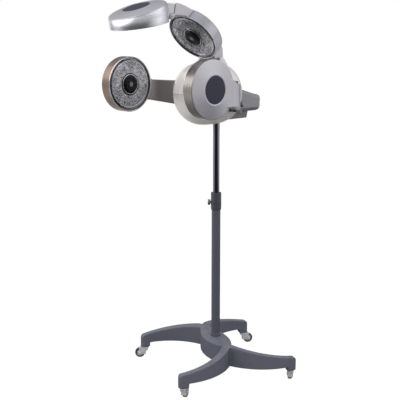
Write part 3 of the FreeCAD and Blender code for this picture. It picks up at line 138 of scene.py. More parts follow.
class PodSettings(bpy.types.PropertyGroup):
    """Sizes and colours of the heater pods."""
    radius: length_property("Pod radius", "Outside of the metal band", 0.112)
    band_wall: length_property("Band wall", "Wall of the metal band", 0.003)
    ring_radius: length_property("Ring radius", "Outside of the bright inner ring", 0.097)
    hub_radius: length_property("Hub radius", "Black hub in the middle", 0.036)
    dish_depth: length_property("Dish depth", "Reflector depth at the hub", 0.024)
    lamp_radius: length_property("Lamp radius", "Centre line of the ring lamp", 0.066)
    tube_radius: length_property("Tube radius", "Glass tube of the ring lamp", 0.005)
    segments: IntProperty(name="Segments", description="Steps round a turned piece", default=128,
                          min=24)
    silver: colour_property("Cover", "Metallic paint of the covers", 194, 193, 201)
    # Painted shade: the left cover and its arm get a darker, warmer copy of the cover paint, standing
    # in for the shade and dark reflections on that side
    shaded_cover: colour_property("Warm cover", "Metallic paint of the left cover and its arm", 178, 172, 168)
    # Painted light: the four bands are one brushed metal, and their four tones stand in for how each
    # band is lit and what it reflects, darker and browner on the left, lighter on the upper and top
    # bands
    band: colour_property("Band", "Brushed metal of the right band", 172, 166, 160)
    band_left_shaded: colour_property("Warm band", "Brushed metal of the left band", 160, 137, 126)
    band_upper_lit: colour_property("Cool band", "Brushed metal of the upper band", 196, 196, 204)
    band_top_lit: colour_property("Light band", "Brushed metal of the top band", 240, 240, 248)
    disc: colour_property("Disc", "Slate disc on the cover", 56, 58, 72)
    hub: colour_property("Hub", "Black plastic of the hub", 12, 13, 17)


class BoxSettings(bpy.types.PropertyGroup):
    """Colours of the control box."""
    silver: colour_property("Box", "Satin paint of the control box", 138, 139, 143)
    plinth: colour_property("Plinth", "Paint of the lower box", 112, 110, 112)


class StageSettings(bpy.types.PropertyGroup):
    """Camera and lamps."""
    camera_at: FloatVectorProperty(name="Camera", description="Place of the camera", size=3,
                                   subtype="TRANSLATION", unit="LENGTH",
                                   default=(2.427, -2.524, 1.478))
    camera_towards: FloatVectorProperty(name="View", description="Direction of the camera",
                                        size=3, subtype="DIRECTION",
                                        default=(-0.693, 0.693, -0.200))
    lens: FloatProperty(name="Lens", description="Focal length", default=75.4, unit="CAMERA")
    key_power: FloatProperty(name="Key lamp", description="Power of the key lamp", default=46.0,
                             unit="POWER")
    fill_power: FloatProperty(name="Fill lamp", description="Power of the fill lamp",
                              default=3.0, unit="POWER")


# ---- node tools -------------------------------------------------------------------------
def shader_node(tree, kind, **settings):
    made = tree.nodes.new("ShaderNode" + kind)
    for key, value in settings.items():
        setattr(made, key, value)
    return made


def wire(tree, source, target):
    tree.links.new(source, target)


def feed(tree, socket, value):
    """Link a socket, or set it where the value is a plain number or colour."""
    if isinstance(value, bpy.types.NodeSocket):
        tree.links.new(value, socket)
    else:
        socket.default_value = value


def feed_all(tree, made, values):
    for label, value in values.items():
        feed(tree, made.inputs[label], value)


def calc(tree, operation, first, second=0.5, third=0.0, clamp=False):
    made = shader_node(tree, "Math", operation=operation, use_clamp=clamp)
    for socket, value in zip(made.inputs, (first, second, third)):
        feed(tree, socket, value)
    return made.outputs[0]


def remap(tree, value, low, high, to_low=0.0, to_high=1.0, smooth=False):
    made = shader_node(tree, "MapRange", clamp=True)
    if smooth:
        made.interpolation_type = "SMOOTHSTEP"
    for socket, given in zip(made.inputs, (value, low, high, to_low, to_high)):
        feed(tree, socket, given)
    return made.outputs[0]


def blend_colours(tree, factor, first, second):
    made = shader_node(tree, "Mix", data_type="RGBA", blend_type="MIX")
    for index, value in ((0, factor), (6, first), (7, second)):
        feed(tree, made.inputs[index], value)
    return made.outputs[2]


def overlay(tree, base, mask, share, colour):
    """Lay a share of a colour over a base where a mask is high."""
    return blend_colours(tree, calc(tree, "MULTIPLY", mask, share), base, colour)


def object_place(tree):
    return shader_node(tree, "TexCoord").outputs["Object"]


def one_axis(tree, vector, index):
    split = shader_node(tree, "SeparateXYZ")
    wire(tree, vector, split.inputs[0])
    return split.outputs[index]


def dot(tree, first, second):
    made = shader_node(tree, "VectorMath", operation="DOT_PRODUCT")
    feed(tree, made.inputs[0], first)
    feed(tree, made.inputs[1], second)
    return made.outputs["Value"]


def noise(tree, vector, scale, detail, roughness=0.5):
    made = shader_node(tree, "TexNoise")
    feed_all(tree, made, {"Vector": vector, "Scale": scale, "Detail": detail,
                          "Roughness": roughness})
    return made.outputs[0]


def cells(tree, feature, scale, output="Distance", **values):
    made = shader_node(tree, "TexVoronoi", feature=feature)
    feed_all(tree, made, {"Vector": object_place(tree), "Scale": scale, **values})
    return made.outputs[output]


def cell_tone(tree, scale):
    """A random tone for each cell."""
    split = shader_node(tree, "SeparateColor")
    wire(tree, cells(tree, "F1", scale, "Color"), split.inputs[0])
    return split.outputs[0]


# ---- shared effects ---------------------------------------------------------------------
def start_group(name, inputs, outputs):
    """A node group with float, vector or colour sockets: its tree, its inputs and outputs."""
    tree = bpy.data.node_groups.new(name, "ShaderNodeTree")
    for label, kind, default in inputs:
        socket = tree.interface.new_socket(name=label, in_out="INPUT",
                                           socket_type="NodeSocket" + kind)
        socket.default_value = default
    for label, kind in outputs:
        tree.interface.new_socket(name=label, in_out="OUTPUT", socket_type="NodeSocket" + kind)
    return tree, tree.nodes.new("NodeGroupInput").outputs, tree.nodes.new("NodeGroupOutput").inputs


def edge_group():
    """Mask and normal of rounded, rubbed edges."""
    tree, given, made = start_group(
        "edge_rub", [("Radius", "Float", 0.0015), ("Strength", "Float", 4.0)],
        [("Mask", "Float"), ("Normal", "Vector")])
    rounded = shader_node(tree, "Bevel", samples=4)
    wire(tree, given["Radius"], rounded.inputs["Radius"])
    flat = shader_node(tree, "NewGeometry").outputs["Normal"]
    turn = calc(tree, "SUBTRACT", 1.0, dot(tree, rounded.outputs[0], flat))
    wire(tree, calc(tree, "MULTIPLY", turn, given["Strength"], clamp=True), made["Mask"])
    wire(tree, rounded.outputs[0], made["Normal"])
    return tree


def mottle_group():
    """Soft clouds."""
    tree, given, made = start_group(
        "mottle", [("Scale", "Float", 12.0), ("Spread", "Float", 0.25)], [("Mask", "Float")])
    cloud = noise(tree, object_place(tree), given["Scale"], 5.0, 0.55)
    low = calc(tree, "SUBTRACT", 0.5, given["Spread"])
    high = calc(tree, "ADD", 0.5, given["Spread"])
    wire(tree, remap(tree, cloud, low, high), made["Mask"])
    return tree


def peel_group():
    """Fine unevenness of sprayed or moulded surfaces."""
    tree, given, made = start_group(
        "peel", [("Scale", "Float", 500.0), ("Speck", "Float", 0.3)],
        [("Height", "Float"), ("Mask", "Float")])
    tone = cell_tone(tree, calc(tree, "MULTIPLY", given["Scale"], 2.6))
    wire(tree, noise(tree, object_place(tree), given["Scale"], 2.0), made["Height"])
    wire(tree, calc(tree, "MULTIPLY", tone, given["Speck"]), made["Mask"])
    return tree


def brush_group():
    """Fine lines that run round an axis, from a vector whose Z is along that axis."""
    tree, given, made = start_group(
        "brushed_lines",
        [("Vector", "Vector", (0.0, 0.0, 0.0)), ("Along", "Float", 5.0), ("Across", "Float", 900.0)],
        [("Height", "Float"), ("Mask", "Float")])
    stretch = shader_node(tree, "CombineXYZ")
    for socket, label in zip(stretch.inputs, ("Along", "Along", "Across")):
        wire(tree, given[label], socket)
    scaled = shader_node(tree, "VectorMath", operation="MULTIPLY")
    wire(tree, given["Vector"], scaled.inputs[0])
    wire(tree, stretch.outputs[0], scaled.inputs[1])
    lines = noise(tree, scaled.outputs[0], 1.0, 3.0)
    wire(tree, lines, made["Height"])
    wire(tree, remap(tree, lines, 0.32, 0.68), made["Mask"])
    return tree


def peened_group():
    """Small dents of a hammered reflector, each with a tone of its own."""
    tree, given, made = start_group(
        "peened", [("Scale", "Float", 210.0)],
        [("Height", "Float"), ("Tone", "Float"), ("Rim", "Float")])
    scale = given["Scale"]
    rims = cells(tree, "DISTANCE_TO_EDGE", scale)
    wire(tree, cells(tree, "SMOOTH_F1", scale, Smoothness=0.35), made["Height"])
    wire(tree, cell_tone(tree, scale), made["Tone"])
    wire(tree, remap(tree, rims, 0.0, 0.12, 1.0, 0.0), made["Rim"])
    return tree


def woven_group():
    """Openings between crossing wires."""
    tree, given, made = start_group(
        "woven", [("Scale", "Float", 330.0)], [("Mask", "Float")])
    weave = cells(tree, "DISTANCE_TO_EDGE", given["Scale"], Randomness=0.35)
    wire(tree, remap(tree, weave, 0.1, 0.25), made["Mask"])
    return tree


def joint_shade_group():
    """Painted shade: a dark line where two mouldings meet at a height, standing in for the shadow in
    the gap between them.
    """
    tree, given, made = start_group(
        "parting_line_shade", [("Height", "Float", PARTING_HEIGHT), ("Width", "Float", 0.0006)],
        [("Mask", "Float")])
    height = one_axis(tree, object_place(tree), 2)
    off = calc(tree, "ABSOLUTE", calc(tree, "SUBTRACT", height, given["Height"]))
    half = calc(tree, "MULTIPLY", given["Width"], 0.5)
    wire(tree, remap(tree, off, half, given["Width"], 1.0, 0.0), made["Mask"])
    return tree


def dust_group():
    """Thin dust on what faces up, broken by noise."""
    tree, given, made = start_group(
        "dust", [("Scale", "Float", 30.0), ("Amount", "Float", 0.2)], [("Mask", "Float")])
    flat = shader_node(tree, "NewGeometry").outputs["Normal"]
    up = remap(tree, one_axis(tree, flat, 2), 0.4, 1.0)
    cloud = noise(tree, object_place(tree), given["Scale"], 6.0)
    broken = calc(tree, "MULTIPLY", up, remap(tree, cloud, 0.35, 0.75))
    wire(tree, calc(tree, "MULTIPLY", broken, given["Amount"]), made["Mask"])
    return tree


EFFECTS = (edge_group, mottle_group, peel_group, brush_group, peened_group, woven_group,
           joint_shade_group, dust_group)
GROUPS = {}
FINISHES = {}


def effect(tree, name, **values):
    """Place one of the shared effects in a material with its own values."""
    made = tree.nodes.new("ShaderNodeGroup")
    made.node_tree = GROUPS[name]
    feed_all(tree, made, values)
    return made.outputs


# ---- finishes ---------------------------------------------------------------------------
def new_material(name, metallic=0.0, coat=0.0, specular=0.5):
    material = bpy.data.materials.new(name + "_finish")
    FINISHES[name] = material
    material.use_nodes = True
    tree = material.node_tree
    shader = tree.nodes["Principled BSDF"]
    feed_all(tree, shader, {"Metallic": metallic, "Coat Weight": coat, "Coat Roughness": 0.1,
                            "Specular IOR Level": specular})
    return tree, shader


def complete(tree, shader, base, roughness, height, strength, distance, edge_normal):
    """Wire a finish's colour, roughness and bumps."""
    made = shader_node(tree, "Bump")
    feed_all(tree, made, {"Strength": strength, "Distance": distance, "Height": height,
                          "Normal": edge_normal})
    feed_all(tree, shader, {"Base Color": base, "Roughness": roughness,
                            "Normal": made.outputs[0]})


def clouded(tree, cloud, roughness):
    """Roughness between two values, as the clouds have it."""
    return calc(tree, "MULTIPLY_ADD", cloud, roughness[1] - roughness[0], roughness[0])


def painted(name, colour, worn, roughness=(0.35, 0.5), metallic=0.0, coat=0.0, peel=600.0,
            depth=0.0002, speck=0.1, tone=0.9, edge=(0.0015, 3.0), dust=0.0, shade_line_height=0.0,
            mottle=14.0, specular=0.5):
    """Paint or moulded plastic: tone variation, flakes, rubbed edges, dust, a painted shade line
    along a parting line, and fine bumps.
    """
    colour, worn = colour_of(colour), colour_of(worn)
    tree, shader = new_material(name, metallic, coat, specular)
    cloud = effect(tree, "mottle", Scale=mottle, Spread=0.22)["Mask"]
    grain = effect(tree, "peel", Scale=peel, Speck=speck)
    rub = effect(tree, "edge_rub", Radius=edge[0], Strength=edge[1])
    base = blend_colours(tree, cloud, darker(colour, tone), colour)
    base = blend_colours(tree, grain["Mask"], base, worn)
    base = overlay(tree, base, rub["Mask"], 0.6, worn)
    if dust:
        film = effect(tree, "dust", Scale=24.0, Amount=dust)["Mask"]
        base = blend_colours(tree, film, base, paint_colour(190, 188, 184))
    # Painted shade: a dark line at the parting line's height stands in for the shadow in the gap
    # between two shells
    if shade_line_height:
        line = effect(tree, "parting_line_shade", Height=shade_line_height, Width=0.0007)["Mask"]
        base = blend_colours(tree, line, base, paint_colour(58, 56, 56))
    gloss = calc(tree, "MULTIPLY_ADD", rub["Mask"], -0.08, clouded(tree, cloud, roughness))
    complete(tree, shader, base, gloss, grain["Height"], 0.35, depth, rub["Normal"])


def brushed(name, colour, turn, metallic=0.9, tone=0.72):
    """Brushed metal, its lines running round an axis that turn brings to Z."""
    colour = colour_of(colour)
    tree, shader = new_material(name, metallic)
    align = shader_node(tree, "Mapping", vector_type="POINT")
    align.inputs["Rotation"].default_value = turn
    wire(tree, object_place(tree), align.inputs["Vector"])
    lines = effect(tree, "brushed_lines", Vector=align.outputs[0], Along=5.0, Across=900.0)
    cloud = effect(tree, "mottle", Scale=9.0, Spread=0.2)["Mask"]
    rub = effect(tree, "edge_rub", Radius=0.0008, Strength=2.0)
    base = blend_colours(tree, lines["Mask"], darker(colour, tone), colour)
    base = overlay(tree, base, cloud, 0.35, darker(colour, 0.8))
    base = overlay(tree, base, rub["Mask"], 0.4, paint_colour(225, 224, 226))
    gloss = remap(tree, lines["Mask"], 0.0, 1.0, 0.38, 0.22)
    complete(tree, shader, base, gloss, lines["Height"], 0.3, 0.00008, rub["Normal"])


def plated(name, colour, roughness=(0.04, 0.14), smear=22.0, tone=0.85):
    """Chrome or polished metal with faint smears and rubbed edges."""
    colour = colour_of(colour)
    tree, shader = new_material(name, 1.0)
    cloud = effect(tree, "mottle", Scale=smear, Spread=0.2)["Mask"]
    grain = effect(tree, "peel", Scale=900.0, Speck=0.2)
    rub = effect(tree, "edge_rub", Radius=0.0008, Strength=2.0)
    base = blend_colours(tree, cloud, darker(colour, tone), colour)
    base = overlay(tree, base, rub["Mask"], 0.5, paint_colour(236, 238, 242))
    gloss = calc(tree, "MULTIPLY_ADD", grain["Mask"], 0.05, clouded(tree, cloud, roughness))
    complete(tree, shader, base, gloss, grain["Height"], 0.1, 0.00004, rub["Normal"])


def hammered(name, colour):
    """Hammered reflector sheet."""
    colour = colour_of(colour)
    tree, shader = new_material(name, 0.95)
    dents = effect(tree, "peened", Scale=210.0)
    cloud = effect(tree, "mottle", Scale=40.0, Spread=0.2)["Mask"]
    rub = effect(tree, "edge_rub", Radius=0.0006, Strength=2.0)
    base = blend_colours(tree, dents["Tone"], darker(colour, 0.35), colour)
    base = overlay(tree, base, cloud, 0.3, darker(colour, 0.5))
    base = overlay(tree, base, dents["Rim"], 0.4, paint_colour(70, 72, 78))
    gloss = remap(tree, dents["Tone"], 0.0, 1.0, 0.36, 0.12)
    complete(tree, shader, base, gloss, dents["Height"], 0.8, 0.0012, rub["Normal"])


def meshed(name, colour):
    """Bright woven mesh: dark openings between its wires, each cell with a tone of its own."""
    colour = colour_of(colour)
    tree, shader = new_material(name, 0.9)
    weave = effect(tree, "peened", Scale=130.0)
    patch = effect(tree, "mottle", Scale=34.0, Spread=0.16)["Mask"]
    holes = effect(tree, "woven", Scale=330.0)["Mask"]
    depth = calc(tree, "MULTIPLY", remap(tree, weave["Tone"], 0.55, 0.8), 0.9)
    dark = calc(tree, "MAXIMUM", calc(tree, "MULTIPLY", depth, patch),
                calc(tree, "MULTIPLY", holes, 0.35))
    base = blend_colours(tree, weave["Tone"], darker(colour, 0.45), colour)
    base = blend_colours(tree, dark, base, paint_colour(24, 25, 30))
    gloss = remap(tree, weave["Tone"], 0.0, 1.0, 0.40, 0.16)
    rub = effect(tree, "edge_rub", Radius=0.0006, Strength=2.0)
    complete(tree, shader, base, gloss, weave["Height"], 0.7, 0.0014, rub["Normal"])


def glassy(name, colour):
    """Clear quartz of the ring lamps."""
    colour = colour_of(colour)
    tree, shader = new_material(name)
    cloud = effect(tree, "mottle", Scale=60.0, Spread=0.2)["Mask"]
    feed_all(tree, shader, {
        "Transmission Weight": 0.85, "IOR": 1.45,
        "Base Color": blend_colours(tree, cloud, darker(colour, 0.9), colour),
        "Roughness": remap(tree, cloud, 0.0, 1.0, 0.05, 0.16)})


# ---- modelling tools ----------------------------------------------------------------------
def clear_selection():
    if bpy.context.object and bpy.context.object.mode != "OBJECT":
        bpy.ops.object.mode_set(mode="OBJECT")
    bpy.ops.object.select_all(action="DESELECT")


def make_active(piece):
    clear_selection()
    piece.select_set(True)
    bpy.context.view_layer.objects.active = piece


def settle(piece, placement=None):
    """Put a piece's place and turn in its mesh, moving it to a placement first."""
    if placement is not None:
        piece.matrix_world = placement
    make_active(piece)
    bpy.ops.object.transform_apply(location=True, rotation=True, scale=True)


def apply_modifier(piece, kind, **settings):
    make_active(piece)
    modifier = piece.modifiers.new(kind.title(), kind)
    for key, value in settings.items():
        setattr(modifier, key, value)
    bpy.ops.object.modifier_apply(modifier=modifier.name)


def round_edges(piece, width, segments=3):
    apply_modifier(piece, "BEVEL", width=width, segments=segments, limit_method="ANGLE",
                   angle_limit=math.radians(30.0), harden_normals=False)


def smooth(piece, angle=32.0):
    make_active(piece)
    bpy.ops.object.shade_smooth_by_angle(angle=math.radians(angle))


def join_all(pieces, first):
    """Join pieces into the first one."""
    clear_selection()
    for piece in pieces:
        piece.select_set(True)
    first.select_set(True)
    bpy.context.view_layer.objects.active = first
    bpy.ops.object.join()


def edit_all(piece):
    """Go to edit mode with all of a piece selected."""
    make_active(piece)
    bpy.ops.object.mode_set(mode="EDIT")
    bpy.ops.mesh.select_mode(type="VERT")
    bpy.ops.mesh.select_all(action="SELECT")


def close_edit(outward=True):
    """Leave edit mode, with all faces turned outward first."""
    if outward:
        bpy.ops.mesh.select_all(action="SELECT")
        bpy.ops.mesh.normals_make_consistent(inside=False)
    bpy.ops.object.mode_set(mode="OBJECT")


def pick_vertices(piece, test):
    """In edit mode, select only the vertices that pass the test."""
    mesh = bmesh.from_edit_mesh(piece.data)
    mesh.select_mode = {"VERT"}
    for vertex in mesh.verts:
        vertex.select = test(vertex.co)
    mesh.select_flush_mode()
    bmesh.update_edit_mesh(piece.data)


def close_pole(piece, height):
    """Draw a tiny end ring together into one vertex on the axis."""
    pick_vertices(piece, lambda co: co.xy.length < 2e-4 and abs(co.z - height) < 1e-7)
    bpy.ops.mesh.merge(type="CENTER")


def dent(piece, offset, seed, low=0.0, high=1.0):
    """Move the vertices between two distances from the axis in and out at random."""
    edit_all(piece)
    pick_vertices(piece, lambda co: low < co.xy.length < high)
    bpy.ops.transform.vertex_random(offset=offset, uniform=0.0, normal=1.0, seed=seed)
    close_edit(outward=False)


def turned(name, profile, placement=None, segments=96, closed=False, bevel=0.0, steps=3,
           angle=32.0):
    """Turned piece: a circle drawn out ring by ring along (radius, height) points in mm."""
    tiny = 1e-4
    profile = [(radius / 1000, height / 1000) for radius, height in profile]
    points = [(max(radius, tiny), height) for radius, height in profile]
    if closed:
        points.append(points[0])
    clear_selection()
    bpy.ops.mesh.primitive_circle_add(vertices=segments, radius=points[0][0],
                                      location=(0.0, 0.0, points[0][1]))
    piece = bpy.context.object
    piece.name = name
    settle(piece)
    edit_all(piece)
    for (radius, height), (wider, higher) in zip(points, points[1:]):
        bpy.ops.mesh.extrude_region_move(
            TRANSFORM_OT_translate={"value": (0.0, 0.0, higher - height)})
        if wider != radius:
            share = wider / radius
            bpy.ops.transform.resize(value=(share, share, 1.0), center_override=(0.0, 0.0, 0.0))
    for radius, height in (profile[0], profile[-1]):
        if radius == 0.0:
            close_pole(piece, height)
    bpy.ops.mesh.select_all(action="SELECT")
    bpy.ops.mesh.remove_doubles(threshold=1e-6)
    close_edit()
    if bevel:
        round_edges(piece, bevel, steps)
    if placement is not None:
        settle(piece, placement)
    smooth(piece, angle)
    return piece


def block(name, size, centre, placement=None, bevel=0.001, steps=3):
    """Box with rounded edges."""
    clear_selection()
    bpy.ops.mesh.primitive_cube_add(size=1.0, location=centre, scale=size)
    piece = bpy.context.object
    piece.name = name
    settle(piece)
    if bevel:
        round_edges(piece, bevel, steps)
    if placement is not None:
        settle(piece, placement)
    smooth(piece)
    return piece


def torus(major, minor, height, steps_round, steps_across):
    clear_selection()
    bpy.ops.mesh.primitive_torus_add(major_radius=major, minor_radius=minor,
                                     major_segments=steps_round, minor_segments=steps_across,
                                     location=(0, 0, height))
    settle(bpy.context.object)
    return bpy.context.object


def copied(node, name):
    """A merged copy of a frame node's mesh, as the start of a new piece."""
    source = frame["nodes"][node]
    piece = bpy.data.objects.new(name, source.data.copy())
    bpy.context.scene.collection.objects.link(piece)
    make_active(piece)
    bpy.ops.mesh.customdata_custom_splitnormals_clear()
    edit_all(piece)
    bpy.ops.mesh.remove_doubles(threshold=2e-6)
    close_edit(outward=False)
    return piece


def round_node(node, name, grid, passes, finish, carve=None, hold=None):
    """Copy of a node with its edges and corners rounded, less so where hold is near 0."""
    piece = copied(node, name)
    if carve:
        carve(piece)
    piece.data.remesh_voxel_size = grid
    piece.data.use_remesh_preserve_volume = True
    make_active(piece)
    bpy.ops.object.voxel_remesh()
    soften = piece.vertex_groups.new(name="soften")
    for vertex in piece.data.vertices:
        soften.add([vertex.index], hold(vertex.co) if hold else 1.0, "REPLACE")
    apply_modifier(piece, "SMOOTH", factor=0.5, iterations=passes, vertex_group="soften")
    piece.vertex_groups.clear()
    bpy.ops.object.shade_smooth()
    finish_piece(piece, node, finish)


def copy_of(piece, name, placement):
    """A copy with a mesh of its own, moved by placement from the first one's place."""
    twin = bpy.data.objects.new(name, piece.data.copy())
    bpy.context.scene.collection.objects.link(twin)
    settle(twin, placement)
    return twin


def finish_piece(piece, node, finish, replaces=True):
    """Give a piece its finish, and the body of a frame node that it may stand for."""
    piece.data.materials.clear()
    piece.data.materials.append(FINISHES[finish])
    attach(piece, frame["nodes"][node]["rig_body"])
    if replaces:
        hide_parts(node)


def axes(origin, x_axis, y_axis, z_axis):
    made = Matrix((x_axis, y_axis, z_axis)).transposed().to_4x4()
    made.translation = origin
    return made


def pod_place(pod):
    """Frame of a pod: the middle of its heating plane, with Z to its back."""
    down, lean = math.radians(41.0), math.radians(10.6)
    return {
        "right": axes((0.212, -0.286, 1.257), (0, 0, -1), (0, 1, 0), (1, 0, 0)),
        "left": axes((-0.212, -0.286, 1.257), (0, 0, 1), (0, 1, 0), (-1, 0, 0)),
        "upper": axes((0, -0.1395, 1.4437), (1, 0, 0), (0, math.sin(down), -math.cos(down)),
                      (0, math.cos(down), math.sin(down))),
        "top": axes((0, -0.4174, 1.491), (1, 0, 0), (0, math.cos(lean), math.sin(lean)),
                    (0, -math.sin(lean), math.cos(lean))),
    }[pod]


def rim_place(pod):
    """Frame of a pod's cover edge."""
    rim = Matrix.Translation((0, 0, POD_DEPTH[pod]))
    return rim @ Matrix.Rotation(TOP_LEAN, 4, "X") if pod == "top" else rim


def turn_about_z(degrees):
    return Matrix.Rotation(math.radians(degrees), 4, "Z")


def caster_place(leg):
    """Frame of a caster: under its stem, X towards the wheel and Y along the axle."""
    stem, turn = CASTER_ANGLES[leg]
    at = turn_about_z(stem) @ Vector((STEM_REACH, 0.0, 0.0))
    return Matrix.Translation(at) @ turn_about_z(turn)


def off_axis(pod):
    """Distance from a pod's axis, as a function of a place."""
    back = pod_place(pod).inverted()
    return lambda co: (back @ co).xy.length


def ramp(value, low, high):
    return min(max((value - low) / (high - low), 0.0), 1.0)


# Middle of the control panel's face with Z out of it, and of the box's rear face
PANEL_FACE = axes((0, 0.12145, 1.22074), (1, 0, 0), (0, 0.9656, -0.2603), (0, 0.2603, 0.9656))
REAR_FACE = axes((0, 0.125, 1.125), (-1, 0, 0), (0, 0.2747, 0.9615), (0, 0.9615, -0.2747))
# Rows of the panel, up from its middle
DISPLAY_ROW, LAMP_ROW, BUTTON_ROW = -0.014, 0.0065, 0.018
BUTTONS = {"start_button": -0.026, "level_button": 0.0, "timer_button": 0.026}


# ---- operators ----------------------------------------------------------------------------
class SALON_OT_base(bpy.types.Operator):
    """Round the base casting and the casters, and turn the wheels and the collar"""
    bl_idname = "salon.base"
    bl_label = "Base and mast"

    def execute(self, context):
        stand = context.scene.salon_stand
        round_node("base_casting", "base_cast", stand.cast_voxel, 8, "base_paint")
        tyre, core = self.make_wheel(stand.wheel_radius)
        for leg in CASTER_ANGLES:
            place = caster_place(leg)
            wheel, fork = "caster_%s_wheel" % leg, "caster_%s_fork" % leg
            tread = "tread_dark" if leg in ("left", "rear") else "tread_brown"
            finish_piece(copy_of(tyre, wheel + "_tyre", place), wheel, tread)
            finish_piece(copy_of(core, wheel + "_core", place), wheel, "wheel_core")
            round_node(fork, fork + "_pressed", 0.0007, 3, "caster_chrome")
        for master in (tyre, core):
            bpy.data.objects.remove(master)
        self.make_mast(1000 * stand.collar_radius)
        return {"FINISHED"}

    def make_wheel(self, radius):
        """Tyre and core, their axle along Y."""
        place = Matrix.Translation((WHEEL_TRAIL, 0.0, radius)) @ Matrix.Rotation(
            math.radians(-90), 4, "X")
        tread = 1000 * radius
        half = [(14.8, 6.8), (16.2, 8.2), (19.6, 8.4), (tread - 1.0, 7.2), (tread - 0.2, 4.6),
                (tread, 1.6), (tread - 0.6, 1.1)]
        tyre = turned("tyre", self.both_sides(half), place, 72, closed=True, angle=50.0)
        half = [(3.1, 8.4), (6.4, 8.4), (7.2, 6.6), (8.4, 5.2), (12.4, 4.9), (13.2, 6.4),
                (14.9, 6.7)]
        core = turned("core", self.both_sides(half), place, 64, closed=True, bevel=0.0003)
        return tyre, core

    def both_sides(self, half):
        """A profile from one side to its mirror image on the other."""
        return [(radius, -height) for radius, height in half] + half[::-1]

    def make_mast(self, outside):
        grooves = []
        for low in (768, 773, 778, 783, 788):
            grooves += [(outside, low), (21.6, low + 0.9), (21.6, low + 2.1), (outside, low + 3.0)]
        collar = turned("collar", [(19.05, 722), (20.4, 722), (21.4, 724.5), (outside, 731),
                                   (outside, 739), (21.8, 739.8), (21.8, 741.4),
                                   (outside, 742.2), *grooves, (outside, 794.4), (21.9, 796.2),
                                   (20.4, 797), (15.6, 797), (14.7, 796.2), (14.7, 794),
                                   (17.1, 794), (17.1, 745), (19.05, 745)],
                        closed=True, bevel=0.0003, steps=2)
        finish_piece(collar, "height_collar", "collar_black")
        ring = turned("column_ring", [(19.1, 156.2), (21.7, 156.2), (22.5, 157.0), (22.5, 160.8),
                                      (22.1, 162.4), (20.9, 166.8), (20.3, 169.2), (19.6, 170),
                                      (19.1, 170)], closed=True, bevel=0.0004, steps=2)
        finish_piece(ring, "lower_column", "column_paint", replaces=False)
        for node, slot, finish in (("clamp_knob", "knob_chrome", "knob_chrome"),
                                   ("tilt_lock_knob", "knob_black", "knob_grey")):
            round_node(node, node + "_moulded", 0.0005, 4, finish)


class SALON_OT_covers(bpy.types.Operator):
    """Round the pod covers with their arms, and turn the top cover"""
    bl_idname = "salon.covers"
    bl_label = "Covers and arms"

    def execute(self, context):
        grid = context.scene.salon_head.arm_voxel
        edge = context.scene.salon_pod.radius
        for pod in ("right", "left", "upper"):
            away = off_axis(pod)
            # The left cover and arm take the shaded copy of the cover paint, a painted shade
            round_node(pod + "_pod_cover", pod + "_pod_cover_moulded", grid, 16,
                       "cover_silver_shaded" if pod == "left" else "cover_silver",
                       hold=lambda co: 1.0 - 0.8 * ramp(away(co), edge - 0.008, edge - 0.0025)
                       * (1.0 - ramp(away(co), edge + 0.0015, edge + 0.006)))
        for pod in ("upper", "top"):
            away = off_axis(pod)
            round_node(pod + "_pod_band", pod + "_pod_arm", grid, 18, "cover_silver",
                       carve=lambda piece: self.free_arm(piece, pod, edge),
                       hold=lambda co: ramp(away(co), edge + 0.0008, edge + 0.007))
        rim = 1000 * edge
        cone = turned("top_pod_cone", [(0, 11.0), (53.4, 11.0), (53.4, 13.1), (54.1, 13.7),
                                       (56.2, 13.8), (70, 11.6), (84, 8.9), (98, 5.7),
                                       (107, 3.3), (rim - 1.2, 2.0), (rim - 0.2, 1.1),
                                       (rim, 0.1), (rim - 3, 0.1), (rim - 3, 1.0), (54, 8.2),
                                       (0, 8.2)],
                      pod_place("top") @ rim_place("top"), 160, angle=24.0)
        finish_piece(cone, "top_pod_cover", "cover_silver")
        round_node("top_hinge_wedge", "top_wedge_bar", 0.0011, 5, "wedge_metal")
        return {"FINISHED"}

    def free_arm(self, piece, pod, edge):
        """Take the band off, so that only the arm is left."""
        clear_selection()
        bpy.ops.mesh.primitive_cylinder_add(vertices=256, radius=edge + 0.0001, depth=0.6)
        cutter = bpy.context.object
        settle(cutter, pod_place(pod))
        apply_modifier(piece, "BOOLEAN", operation="DIFFERENCE", object=cutter, solver="EXACT")
        bpy.data.objects.remove(cutter)


